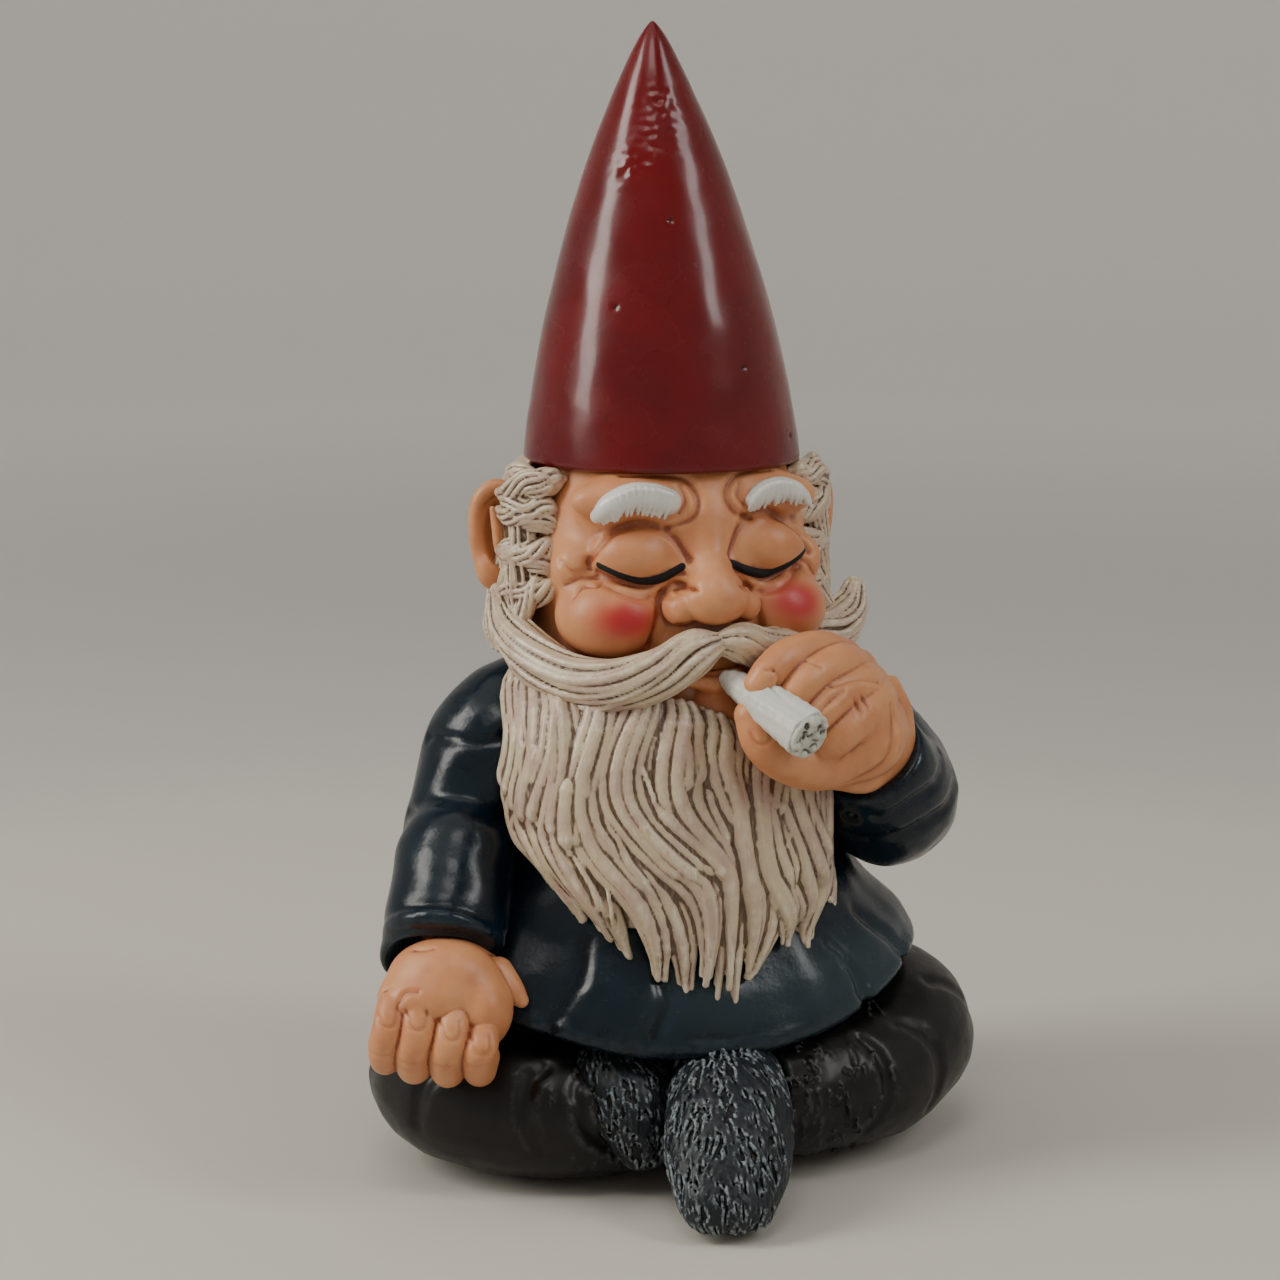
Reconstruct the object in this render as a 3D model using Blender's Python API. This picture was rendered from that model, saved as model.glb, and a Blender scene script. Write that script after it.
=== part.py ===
"""Garden gnome, sitting cross-legged: hollow cast-resin pieces, pinned, glued and painted.

Metres, +Z up. The gnome faces -Y, its left side is at +X, and the origin lies on the
underside of the foam pad that it stands on. Run with blender --background --python part.py
"""

import math

import bmesh
import bpy
from mathutils import Vector

MM = 0.001

# Driving dimensions
HEIGHT = 250 * MM
GAP = 0.35 * MM  # glue line between two castings
WALL = 4.5 * MM  # thickness of the hollow castings
PAD_THICKNESS = 1.5 * MM
FLOOR_Z = PAD_THICKNESS + GAP  # underside of the castings, above the pad

HAT_RADIUS = 30.6 * MM
HAT_RIM_Z = 155.3 * MM
HAT_CENTRE_Y = -3 * MM
HAT_LEAN = -2 * MM  # the tip leans this far to the gnome's right
HEAD_CENTRE_Y = -5 * MM
HEAD_CORE_RADIUS = 11.5 * MM

PIN_RADIUS = 1.5 * MM
PIN_LENGTH = 16 * MM
VENT_RADIUS = 4 * MM
VENT_Y = 22 * MM
PLATE_THICKNESS = 4 * MM
HIPS_CENTRE_Y = 8 * MM

# Paint colours, as red, green and blue from 0 to 1
RED = (0.24, 0.012, 0.02)
SKIN = (0.72, 0.36, 0.22)
CREAM = (0.66, 0.58, 0.48)
WHITE = (0.75, 0.74, 0.70)
NAVY = (0.010, 0.020, 0.038)
CHARCOAL = (0.012, 0.011, 0.012)
SLATE = (0.045, 0.055, 0.065)
ASH = (0.42, 0.41, 0.36)
STEEL = (0.55, 0.55, 0.56)
BARE_RESIN = (0.70, 0.68, 0.62)
FOAM = (0.03, 0.03, 0.03)


def point(x, y, z):
    """A point given in millimetres."""
    return Vector((x, y, z)) * MM


def paint(name, colour, roughness, metallic=0.0):
    """The material of that name, made the first time that it is asked for."""
    made = bpy.data.materials.get(name)
    if made:
        return made
    made = bpy.data.materials.new(name)
    made.use_nodes = True
    shader = made.node_tree.nodes["Principled BSDF"]
    shader.inputs["Base Color"].default_value = (*colour, 1.0)
    shader.inputs["Roughness"].default_value = roughness
    shader.inputs["Metallic"].default_value = metallic
    made.diffuse_color = (*colour, 1.0)
    return made


def new_object(name, bm, material=None):
    """A closed mesh object with its faces pointing out, shaded smooth."""
    bmesh.ops.recalc_face_normals(bm, faces=bm.faces)
    mesh = bpy.data.meshes.new(name)
    bm.to_mesh(mesh)
    bm.free()
    mesh.shade_smooth()
    obj = bpy.data.objects.new(name, mesh)
    bpy.context.scene.collection.objects.link(obj)
    if material:
        mesh.materials.append(material)
    return obj


def make_guide(obj):
    """Marks a cutter, which is no piece of the gnome."""
    obj.hide_render = True
    obj.display_type = "WIRE"
    return obj


def smooth_line(knots, steps=4):
    """Catmull-Rom points through knots, each a tuple of a point and its radii."""
    rows = [[*k[0], *(k[1] if isinstance(k[1], tuple) else (k[1], k[1]))] for k in knots]
    rows = [[2 * a - b for a, b in zip(rows[0], rows[1])], *rows,
            [2 * a - b for a, b in zip(rows[-1], rows[-2])]]
    line = []
    for i in range(1, len(rows) - 2):
        for step in range(steps):
            t = step / steps
            line.append([
                0.5 * (2 * b + (c - a) * t + (2 * a - 5 * b + 4 * c - d) * t * t
                       + (3 * b - a - 3 * c + d) * t ** 3)
                for a, b, c, d in zip(*rows[i - 1:i + 3])
            ])
    line.append(rows[-2])
    return [(Vector(row[:3]), row[3], row[4]) for row in line]


def skin_rings(bm, rings):
    """Joins rings of vertices into a tube with filled ends."""
    for lower, upper in zip(rings, rings[1:]):
        for i in range(len(lower)):
            j = (i + 1) % len(lower)
            bm.faces.new((lower[i], lower[j], upper[j], upper[i]))
    ends = [bm.faces.new(rings[0]), bm.faces.new(list(reversed(rings[-1])))]
    bmesh.ops.triangulate(bm, faces=ends)


def add_tube(bm, knots, sides=12, steps=4, up=(0, 0, 1), round_ends=(True, True)):
    """A tube through knots of (point, radius) or (point, (radius across, radius along up))."""
    line = smooth_line(knots, steps)
    if round_ends[0]:
        line = rounded_end(line)
    if round_ends[1]:
        line = rounded_end(line[::-1])[::-1]
    rings = []
    for i, (centre, across, upward) in enumerate(line):
        along = (line[min(i + 1, len(line) - 1)][0] - line[max(i - 1, 0)][0]).normalized()
        side = along.cross(Vector(up)).normalized()
        top = side.cross(along).normalized()
        angles = [2 * math.pi * k / sides for k in range(sides)]
        rings.append([
            bm.verts.new(centre + side * across * math.cos(a) + top * upward * math.sin(a))
            for a in angles
        ])
    skin_rings(bm, rings)


def rounded_end(line):
    """Adds a dome of three smaller sections before the first one."""
    (start, across, upward), after = line[0], line[1][0]
    back = (start - after).normalized()
    reach = min(across, upward)
    dome = [
        (start + back * reach * math.sin(a), across * math.cos(a), upward * math.cos(a))
        for a in (math.radians(80), math.radians(55), math.radians(28))
    ]
    return dome + line


def add_ellipsoid(bm, centre, radii, segments=16):
    made = bmesh.ops.create_uvsphere(bm, u_segments=segments, v_segments=segments // 2, radius=1)
    for vertex in made["verts"]:
        vertex.co = Vector(c + v * r for c, v, r in zip(centre, vertex.co, radii))


def add_loft(bm, sections, sides=32):
    """Stacks level sections of (z, centre y, half width, front depth, back depth), in mm.

    A sixth value, where it is given, is the centre x.
    """
    rings = []
    for z, centre_y, half_width, front, back, *centre_x in sections:
        ring = []
        for k in range(sides):
            a = 2 * math.pi * k / sides
            depth = back if math.sin(a) > 0 else front
            x = (centre_x[0] if centre_x else 0) + half_width * math.cos(a)
            ring.append(bm.verts.new(point(x, centre_y + depth * math.sin(a), z)))
        rings.append(ring)
    skin_rings(bm, rings)


def bake(obj):
    """Replaces the mesh by what its modifiers make of it."""
    graph = bpy.context.evaluated_depsgraph_get()
    made = bpy.data.meshes.new_from_object(obj.evaluated_get(graph))
    obj.modifiers.clear()
    obj.data = made
    return obj


def fuse(obj, voxel, keep, smoothing=4):
    """Melts overlapping shapes into one skin, then thins its mesh to a share of its faces."""
    remesh = obj.modifiers.new("fuse", "REMESH")
    remesh.mode = "VOXEL"
    remesh.voxel_size = voxel
    soften = obj.modifiers.new("soften", "SMOOTH")
    soften.iterations = smoothing
    thin = obj.modifiers.new("thin", "DECIMATE")
    thin.ratio = keep
    bake(obj)
    obj.data.shade_smooth()
    return obj


def keep_main_body(obj):
    """Deletes every loose scrap but the body with the most surface."""
    bm = bmesh.new()
    bm.from_mesh(obj.data)
    unread, bodies = set(bm.faces), []
    while unread:
        edge_of = [unread.pop()]
        body = set(edge_of)
        while edge_of:
            face = edge_of.pop()
            near = {f for edge in face.edges for f in edge.link_faces} & unread
            edge_of.extend(near)
            body |= near
            unread -= near
        bodies.append(body)
    main = max(bodies, key=lambda body: sum(face.calc_area() for face in body))
    scraps = [face for face in bm.faces if face not in main]
    bmesh.ops.delete(bm, geom=scraps, context="FACES")
    bm.to_mesh(obj.data)
    bm.free()


def is_closed(obj):
    bm = bmesh.new()
    bm.from_mesh(obj.data)
    closed = all(edge.is_manifold for edge in bm.edges) and bm.calc_volume(signed=True) > 0
    bm.free()
    return closed


def boolean(obj, other, operation="DIFFERENCE"):
    """Cuts or joins with the exact solver, or with the manifold one where that fails."""
    before = obj.data
    for solver in ("EXACT", "MANIFOLD"):
        obj.data = before
        step = obj.modifiers.new(operation.lower(), "BOOLEAN")
        step.operation = operation
        step.solver = solver
        step.object = other
        bake(obj)
        if is_closed(obj):
            break
    keep_main_body(obj)


def grown(obj, gap=GAP):
    """A guide with the object's shape, larger by gap all over."""
    bm = bmesh.new()
    bm.from_mesh(obj.data)
    moves = [v.normal * gap * min(v.calc_shell_factor(), 2.5) for v in bm.verts]
    for vertex, move in zip(bm.verts, moves):
        vertex.co += move
    return make_guide(new_object(obj.name + "_room", bm))


def fit_against(obj, *neighbours):
    """Cuts the object back so that it lies a glue line away from its neighbours."""
    for neighbour in neighbours:
        boolean(obj, grown(neighbour))


def cylinder(name, start, direction, length, radius, sides=16, material=None):
    bm = bmesh.new()
    along = Vector(direction).normalized()
    side = along.orthogonal().normalized()
    top = along.cross(side)
    rings = []
    for reach in (0, length):
        rings.append([
            bm.verts.new(start + along * reach
                         + (side * math.cos(a) + top * math.sin(a)) * radius)
            for a in (2 * math.pi * k / sides for k in range(sides))
        ])
    skin_rings(bm, rings)
    return new_object(name, bm, material)


def add_pin(name, middle, direction, *pieces):
    """A steel pin across a glue joint, with its holes in both castings."""
    along = Vector(direction).normalized()
    start = middle - along * PIN_LENGTH / 2
    hole = cylinder(name + "_hole", start - along * GAP, along, PIN_LENGTH + 2 * GAP,
                    PIN_RADIUS + GAP, 12)
    make_guide(hole)
    for piece in pieces:
        boolean(piece, hole)
    cylinder(name, start, along, PIN_LENGTH, PIN_RADIUS, 12, paint("steel", STEEL, 0.35, 1.0))


def hat_radius(share):
    """Outer radius at a share of the hat's height below its tip: a rounded, slim cone."""
    return HAT_RADIUS * (0.55 * share ** 0.62 + 0.45 * math.sin(math.pi / 2 * share))


def make_hat():
    """Hollow pointed hat, open below, which sits on the head's crown."""
    height = HEIGHT - HAT_RIM_Z
    steps = 11
    outer, inner = bmesh.new(), bmesh.new()
    for bm, wall, sides in ((outer, 0, 32), (inner, WALL, 20)):
        rings = []
        for k in range(1, steps + 1):
            share = (k / steps) ** 1.3
            radius = hat_radius(share) - wall
            if radius < 1.2 * MM:
                continue
            z = HEIGHT - share * height - (0 if not wall or k < steps else 2 * WALL)
            centre = Vector((HAT_LEAN * (1 - share), HAT_CENTRE_Y, z))
            rings.append([
                bm.verts.new(centre + Vector((math.cos(a), math.sin(a), 0)) * radius)
                for a in (2 * math.pi * i / sides for i in range(sides))
            ])
        skin_rings(bm, rings)
    top = [v for v in outer.verts if v.co.z > HEIGHT - height / steps ** 1.3 - 1e-6]
    bmesh.ops.pointmerge(outer, verts=top, merge_co=Vector((HAT_LEAN, HAT_CENTRE_Y, HEIGHT)))
    hat = new_object("hat", outer, paint("hat_red", RED, 0.25))
    boolean(hat, make_guide(new_object("hat_hollow", inner)))
    return hat


def make_head():
    """Head with neck, brow, cheeks, closed lids, nose, lips and the crown under the hat."""
    bm = bmesh.new()
    y = HEAD_CENTRE_Y / MM
    add_loft(bm, (
        (92, -1, 13, 13, 13), (98, -1, 15, 15, 15), (104, -3, 21, 23, 20),
        (110, y, 26, 28, 25), (118, y, 30, 31, 29), (126, y, 32, 32, 31),
        (134, y, 32, 31.5, 32), (142, y, 31, 30.5, 31.5), (150, -4, 29.8, 29.6, 30),
        (156, -3, 29, 29, 29),
    ))
    for side in (-1, 1):
        add_ellipsoid(bm, point(17 * side, -27, 125), point(11, 9, 9))
        add_ellipsoid(bm, point(14.5 * side, -30, 138), point(8.5, 6, 5.5))
        add_ellipsoid(bm, point(14 * side, -29, 148), point(10, 6, 5))
        add_ellipsoid(bm, point(6 * side, -38, 127.5), point(4.2, 4.5, 3.8))
    add_ellipsoid(bm, point(0, -39.5, 129.5), point(6.2, 6, 5.6))
    add_ellipsoid(bm, point(0, -35, 137), point(4.5, 5, 8))
    add_ellipsoid(bm, point(3, -33, 108), point(9, 7, 7))
    head = new_object("head", bm, paint("skin", SKIN, 0.45))
    fuse(head, 2.4 * MM, 0.17)
    trim_top = cylinder("head_top_cut", point(0, 0, HAT_RIM_Z / MM - 0.4), (0, 0, 1),
                        20 * MM, 60 * MM)
    boolean(head, make_guide(trim_top))
    crown = bmesh.new()
    add_loft(crown, (
        (145, -3, 24, 24, 24), (160, -3, 24.5, 24.5, 24.5), (167, -3, 23, 23, 23),
        (171, -3, 17, 17, 17),
    ), 24)
    boolean(head, make_guide(new_object("crown_shape", crown)), "UNION")
    return head


def hollow_head(head):
    core = cylinder("head_core", point(0, -1, 88), (0, 0, 1), 62 * MM, HEAD_CORE_RADIUS, 20)
    boolean(head, make_guide(core))


def make_coat():
    """Coat body from the neck to the flared hem, which stands on the hips and thighs."""
    bm = bmesh.new()
    add_loft(bm, (
        (31, 0, 59, 48, 44), (36, 0, 60, 48.5, 44.5), (44, 0, 57, 46, 43), (54, 0, 50, 41, 41),
        (66, 0, 43, 37, 39), (80, 0, 40, 34, 37), (92, 0, 37, 31, 34), (101, 0, 31, 26, 29),
        (107, 0, 23, 20, 23), (111, 0, 18, 17, 19),
    ), 32)
    bend_hem(bm)
    return new_object("coat", bm, paint("coat_navy", NAVY, 0.3))


def hollow_coat(coat):
    """Leaves a wall all round, open below over the hips."""
    hollow = bmesh.new()
    add_loft(hollow, (
        (20, 0, 55, 44, 40), (36, 0, 55, 43.5, 39.5), (44, 0, 52, 41, 38), (54, 0, 45, 36, 36),
        (66, 0, 38, 32, 34), (80, 0, 35, 29, 32), (90, 0, 31, 25, 29), (98, 0, 20, 18, 20),
    ), 20)
    bend_hem(hollow)
    boolean(coat, make_guide(new_object("coat_hollow", hollow)))


def bend_hem(bm):
    """Lifts the skirt at the sides, where it rides up over the thighs."""
    for vertex in bm.verts:
        low = max(0.0, 1 - (vertex.co.z / MM - 31) / 35)
        sideways = min(1.0, abs(vertex.co.x) / (52 * MM))
        vertex.co.z += 12 * MM * min(low, 1.0) * sideways ** 2


def make_hips():
    """Seat of the trousers, which plugs into the coat."""
    bm = bmesh.new()
    base = FLOOR_Z / MM
    y = HIPS_CENTRE_Y / MM
    add_loft(bm, (
        (base, y, 41, 31, 31), (8, y, 45, 34, 35), (18, y, 47, 36, 36), (28, y, 45, 34, 33),
        (38, y - 2, 40, 31, 29), (44, y - 4, 30, 24, 22),
    ))
    return new_object("hips", bm, paint("trouser_charcoal", CHARCOAL, 0.35))


def hollow_hips(hips):
    """Leaves a wall all round, open below for the base plate."""
    y = HIPS_CENTRE_Y / MM
    hollow = bmesh.new()
    add_loft(hollow, (
        (-2, y, 37, 27, 27), (10, y, 38, 28, 29), (20, y, 40, 30, 30), (30, y, 37, 28, 27),
        (37, y - 2, 28, 22, 21),
    ), 20)
    boolean(hips, make_guide(new_object("hips_hollow", hollow)))


def make_base_plate():
    """Plate that closes the hollow hips, with the vent hole."""
    bm = bmesh.new()
    y = HIPS_CENTRE_Y / MM
    base = FLOOR_Z / MM
    top = base + PLATE_THICKNESS / MM
    add_loft(bm, ((base, y, 36.6, 26.6, 26.6), (top, y, 36.6, 26.6, 26.6)))
    plate = new_object("base_plate", bm, paint("bare_resin", BARE_RESIN, 0.6))
    boolean(plate, vent("plate_vent"))
    return plate


def make_base_pad():
    """Foam pad under the plate. Its underside is the face that the gnome stands on."""
    bm = bmesh.new()
    y = HIPS_CENTRE_Y / MM
    add_loft(bm, ((0, y, 40, 30, 30), (PAD_THICKNESS / MM, y, 40, 30, 30)), 40)
    pad = new_object("base_pad", bm, paint("foam", FOAM, 0.9))
    boolean(pad, vent("pad_vent"))
    return pad


def vent(name):
    return make_guide(cylinder(name, Vector((0, VENT_Y, -5 * MM)), (0, 0, 1), 20 * MM,
                               VENT_RADIUS))


def flatten_below(obj):
    """Cuts the piece off level with the underside of the castings."""
    box = cylinder(obj.name + "_floor", Vector((0, 0, FLOOR_Z - 60 * MM)), (0, 0, 1),
                   60 * MM, 200 * MM)
    boolean(obj, make_guide(box))


def make_tube_piece(name, knots, material, **options):
    bm = bmesh.new()
    add_tube(bm, knots, **options)
    return new_object(name, bm, material)


def make_leg(name, side, knots):
    mirrored = [(point(x * side, y, z), r * MM) for x, y, z, r in knots]
    leg = make_tube_piece(name, mirrored, paint("trouser_charcoal", CHARCOAL, 0.35), sides=18)
    fuse(leg, 2.6 * MM, 0.13)
    flatten_below(leg)
    return leg


def make_boot(name, knots):
    bm = bmesh.new()
    add_tube(bm, [(point(x, y, z), (a * MM, b * MM)) for x, y, z, a, b in knots], sides=16,
             up=(0, -1, 0.6))
    boot = new_object(name, bm, paint("boot_slate", SLATE, 0.5))
    fuse(boot, 2 * MM, 0.16)
    flatten_below(boot)
    return boot


def make_sleeve(name, knots):
    """Sleeve from the shoulder to a cuff that is cut off square."""
    path = [(point(x, y, z), r * MM) for x, y, z, r in knots]
    sleeve = make_tube_piece(name, path, paint("coat_navy", NAVY, 0.3), sides=20)
    fuse(sleeve, 2.4 * MM, 0.14)
    cuff, before = path[-1][0], path[-2][0]
    boolean(sleeve, make_guide(cylinder(name + "_cuff_cut", cuff, cuff - before, 30 * MM,
                                        25 * MM)))
    return sleeve


def make_right_hand():
    """Fist with the palm up, resting on the knee: four curled fingers, thumb and wrist."""
    bm = bmesh.new()
    centre = Vector((-57.5, -32, 40.5))
    across = Vector((0.93, -0.37, 0))
    front = Vector((-0.37, -0.93, 0))
    up = Vector((0, 0, 1))

    def at(a, f, u):
        return (centre + across * a + front * f + up * u) * MM

    for offset in (-9.6, -3.2, 3.2, 9.6):
        drop = 0.06 * offset ** 2 * 0.3
        add_tube(bm, [
            (at(offset, -1, -12 + drop), 3.6 * MM), (at(offset, 7, -12.5 + drop), 3.7 * MM),
            (at(offset, 10.5, -6), 3.6 * MM), (at(offset, 9.5, 2), 3.5 * MM),
            (at(offset, 5, 5 - drop), 3.3 * MM),
        ], sides=10, steps=2, up=across)
    add_ellipsoid(bm, at(0, 1, -3), point(13, 9.5, 12))
    add_tube(bm, [(at(1, 1, 2), 11 * MM), (at(2, -6, 9), 10.5 * MM), (at(4, -13, 15), 9 * MM)],
             sides=14, steps=2)
    add_tube(bm, [(at(9, 0, 5), 5 * MM), (at(14, 4, 1), 3.8 * MM), (at(15, 8, -1), 3 * MM)],
             sides=10, steps=2)
    hand = new_object("right_hand", bm, paint("skin", SKIN, 0.45))
    return fuse(hand, 1.5 * MM, 0.15, 3)


def make_left_hand():
    """Raised hand: fingers curled over the cigarette, the thumb under it, and the wrist."""
    bm = bmesh.new()
    fingers = (
        ((27, -33, 117), (17, -42, 119), (8, -46.5, 116), (6, -47, 113)),
        ((31, -36, 114), (22, -46, 116), (14, -50.5, 112), (11.5, -50, 108.5)),
        ((34, -38, 110), (27, -49, 111), (19, -53.5, 107), (16.5, -52, 104)),
        ((36, -38, 105), (31, -49, 106), (24, -53.5, 102), (21, -51.5, 100)),
    )
    for knots in fingers:
        radii = (5.2, 4.7, 4.2, 3.6)
        add_tube(bm, [(point(*p), r * MM) for p, r in zip(knots, radii)], sides=10, steps=2)
    add_ellipsoid(bm, point(27, -40, 103), point(11, 10, 12))
    add_tube(bm, [(point(27, -43, 94), 6.5 * MM), (point(17, -48, 96), 5.2 * MM),
                  (point(8, -49, 101), 4.2 * MM), (point(5, -48, 105), 3.4 * MM)], sides=10,
             steps=2)
    add_tube(bm, [(point(28, -39, 101), 11.5 * MM), (point(34, -35, 97), 11 * MM),
                  (point(43, -26, 90), 9 * MM)], sides=14, steps=2)
    hand = new_object("left_hand", bm, paint("skin", SKIN, 0.45))
    return fuse(hand, 1.5 * MM, 0.15, 3)


def make_cigarette():
    """Hand-rolled paper cone from the lips, and the crumbled ash at its wide end."""
    mouth, end = point(3, -42, 112.5), point(12.5, -63, 104)
    split = mouth.lerp(end, 0.9)
    roll = make_tube_piece("cigarette", [
        (mouth, 3 * MM), (mouth.lerp(end, 0.45), 4.4 * MM), (split, 5.3 * MM),
    ], paint("paper_white", WHITE, 0.5), sides=14, steps=2, round_ends=(True, False))
    along = (end - mouth).normalized()
    ash = make_tube_piece("ash_tip", [
        (split + along * GAP, 5.2 * MM), (end, 5.3 * MM), (end + along * 1.2 * MM, 4.6 * MM),
    ], paint("ash_grey", ASH, 0.8), sides=14, steps=2, round_ends=(False, False))
    return roll, ash


def make_ear(name, side):
    bm = bmesh.new()
    add_ellipsoid(bm, point(35.5 * side, 2, 139), point(7, 5.5, 12.5), 14)
    return new_object(name, bm, paint("skin", SKIN, 0.45))


def make_eyebrow(name, side):
    knots = ((7.5, -35, 147, 2.6), (13, -34.5, 150, 3.4), (19, -31, 149.5, 3.2),
             (24, -26.5, 145.5, 2.2))
    path = [(point(x * side, y, z), r * MM) for x, y, z, r in knots]
    return make_tube_piece(name, path, paint("brow_white", WHITE, 0.35), sides=10, steps=2)


def make_hair_piece(name, knots, sides=14, up=(0, 0, 1)):
    path = [(point(x, y, z), (a * MM, b * MM)) for x, y, z, a, b in knots]
    return make_tube_piece(name, path, paint("beard_cream", CREAM, 0.4), sides=sides, steps=3,
                           up=up)


def make_back_hair():
    """Hair round the back of the head, from ear to ear below the hat."""
    bm = bmesh.new()
    add_loft(bm, (
        (108, -2, 24, 20, 26), (113, -2, 30, 20, 33), (122, -2, 35, 20, 36.5),
        (134, -2, 35.5, 20, 37), (146, -2, 33.5, 20, 35.5), (153, -2, 31.5, 20, 33.5),
    ), 26)
    hair = new_object("back_hair", bm, paint("beard_cream", CREAM, 0.4))
    front = bmesh.new()
    add_loft(front, ((80, -60, 60, 60, 62), (180, -60, 60, 60, 62)), 24)
    boolean(hair, make_guide(new_object("hair_front_cut", front)))
    return hair


def make_beard():
    """Full beard over the chest: one lens-shaped mass that narrows to a tip."""
    bm = bmesh.new()
    add_loft(bm, (
        (115, -18, 30, 17, 12, -2), (108, -22, 34, 17, 14, -3), (98, -25, 36, 16.5, 16, -4),
        (86, -28, 35.5, 16, 16, -4), (74, -31, 34, 15, 14, -4), (63, -34, 29, 13, 11, -3),
        (53, -37, 19, 10.5, 8, -1), (46, -40, 10, 7, 5, 1), (40.5, -43, 3, 3, 2.5, 2),
    ), 24)
    return new_object("beard", bm, paint("beard_cream", CREAM, 0.4))


def build():
    for obj in list(bpy.data.objects):
        bpy.data.objects.remove(obj)

    hips = make_hips()
    make_base_plate()
    make_base_pad()
    right_leg = make_leg("right_leg", -1, (
        (24, 14, 24, 16), (44, 2, 21, 18.5), (52, -11, 20, 17.5), (41, -25, 18, 16.5),
        (24, -31, 17, 15), (10, -31, 16, 13)))
    left_leg = make_leg("left_leg", 1, (
        (24, 14, 24, 16), (48, 4, 23, 18.5), (57, -8, 22, 17.5), (47, -24, 19, 16.5),
        (27, -35, 18, 15), (10, -38, 19, 13)))
    fit_against(right_leg, hips)
    fit_against(left_leg, hips, right_leg)
    left_boot = make_boot("left_boot", (
        (3, -41, 25, 12, 10), (0, -51, 21, 13.5, 11), (-4, -61, 13, 13.5, 11),
        (-7, -68.5, 7, 10.5, 8)))
    right_boot = make_boot("right_boot", (
        (-24, -35, 27, 7, 6), (-19, -40, 20, 9.5, 8), (-16, -41, 13, 8, 7)))
    fit_against(right_boot, left_boot)
    fit_against(left_leg, left_boot, right_boot)
    fit_against(right_leg, left_boot, right_boot)

    head = make_head()
    coat = make_coat()
    fit_against(coat, hips, left_leg, right_leg, left_boot, head)

    hat = make_hat()
    fit_against(hat, head)

    roll, ash = make_cigarette()
    fit_against(roll, head)
    left_hand = make_left_hand()
    fit_against(left_hand, roll, ash, head)
    right_hand = make_right_hand()
    fit_against(right_hand, right_leg)

    right_sleeve = make_sleeve("right_sleeve", (
        (-28, 3, 101, 13), (-37, 1, 93, 15.5), (-43, -1, 78, 15), (-48.5, -8, 64, 14.5),
        (-54, -18, 54, 13.5), (-56.5, -23, 49.5, 14)))
    left_sleeve = make_sleeve("left_sleeve", (
        (28, 3, 101, 13), (40, 1, 96, 15.5), (51, -4, 82, 17), (50, -16, 78, 16.5),
        (43, -26, 86, 14.5), (38.5, -30, 92, 13.5)))
    fit_against(right_sleeve, coat, head, right_hand, right_leg)
    fit_against(left_sleeve, coat, head, left_hand)

    fit_against(right_hand, coat)
    beard = make_beard()
    fit_against(beard, head, coat, left_hand, left_sleeve, right_sleeve, roll)
    boolean(beard, grown(head, 2 * GAP))
    mouth_side = ((0.8, -41.5, 120, 2.6, 3), (15, -36, 112.5, 4.6, 5.5),
                  (26, -27, 109.5, 5.4, 6.2), (34, -14, 113, 4.8, 6), (36.5, -3, 122, 3, 4.5))
    cheek_side = ((1.6, -41.5, 120, 2.6, 3), (11, -38, 117, 3.6, 4), (22, -31, 116, 4, 4.5),
                  (33, -19, 118, 4, 5), (38, -12, 126, 3.2, 4.4))
    right_moustache = make_hair_piece("right_moustache", [
        (-x, y, z, a, b) for x, y, z, a, b in mouth_side])
    left_moustache = make_hair_piece("left_moustache", cheek_side)
    fit_against(right_moustache, head, beard)
    fit_against(left_moustache, head, beard, right_moustache, left_hand, roll)
    ears = [make_ear("right_ear", -1), make_ear("left_ear", 1)]
    for ear in ears:
        fit_against(ear, head)
    sideburn = ((28.5, -11, 152, 4, 4.5), (32.5, -10, 143, 4.6, 5.5), (34, -9, 132, 4.6, 5.5),
                (34.5, -7, 121, 4.6, 5))
    sideburns = [
        make_hair_piece(name, [(x * side, y, z, a, b) for x, y, z, a, b in sideburn],
                        up=(0, 1, 0))
        for name, side in (("right_sideburn", -1), ("left_sideburn", 1))]
    fit_against(sideburns[0], head, beard, right_moustache, ears[0], hat)
    fit_against(sideburns[1], head, beard, left_moustache, ears[1], hat, left_sleeve)
    back_hair = make_back_hair()
    fit_against(back_hair, head, hat, coat, *ears, *sideburns, right_moustache, left_moustache,
                beard, right_sleeve, left_sleeve)
    for name, side in (("right_eyebrow", -1), ("left_eyebrow", 1)):
        fit_against(make_eyebrow(name, side), head, hat)

    hollow_hips(hips)
    hollow_coat(coat)
    hollow_head(head)
    add_pin("right_shoulder_pin", point(-33, 2, 96), (-1, 0, 0.1), coat, right_sleeve)
    add_pin("left_shoulder_pin", point(33, 2, 96), (1, 0, 0.1), coat, left_sleeve)


build()
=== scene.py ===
"""Looks of the garden gnome: sculpted, hand-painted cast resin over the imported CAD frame.

Lengths are millimetres until a mesh is made, and metres for the stage, camera and lights. The
gnome faces -Y, and its left is +X.
"""

import math

import bpy
import numpy as np
import openvdb
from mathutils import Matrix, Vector, noise
from mathutils.bvhtree import BVHTree


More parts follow.
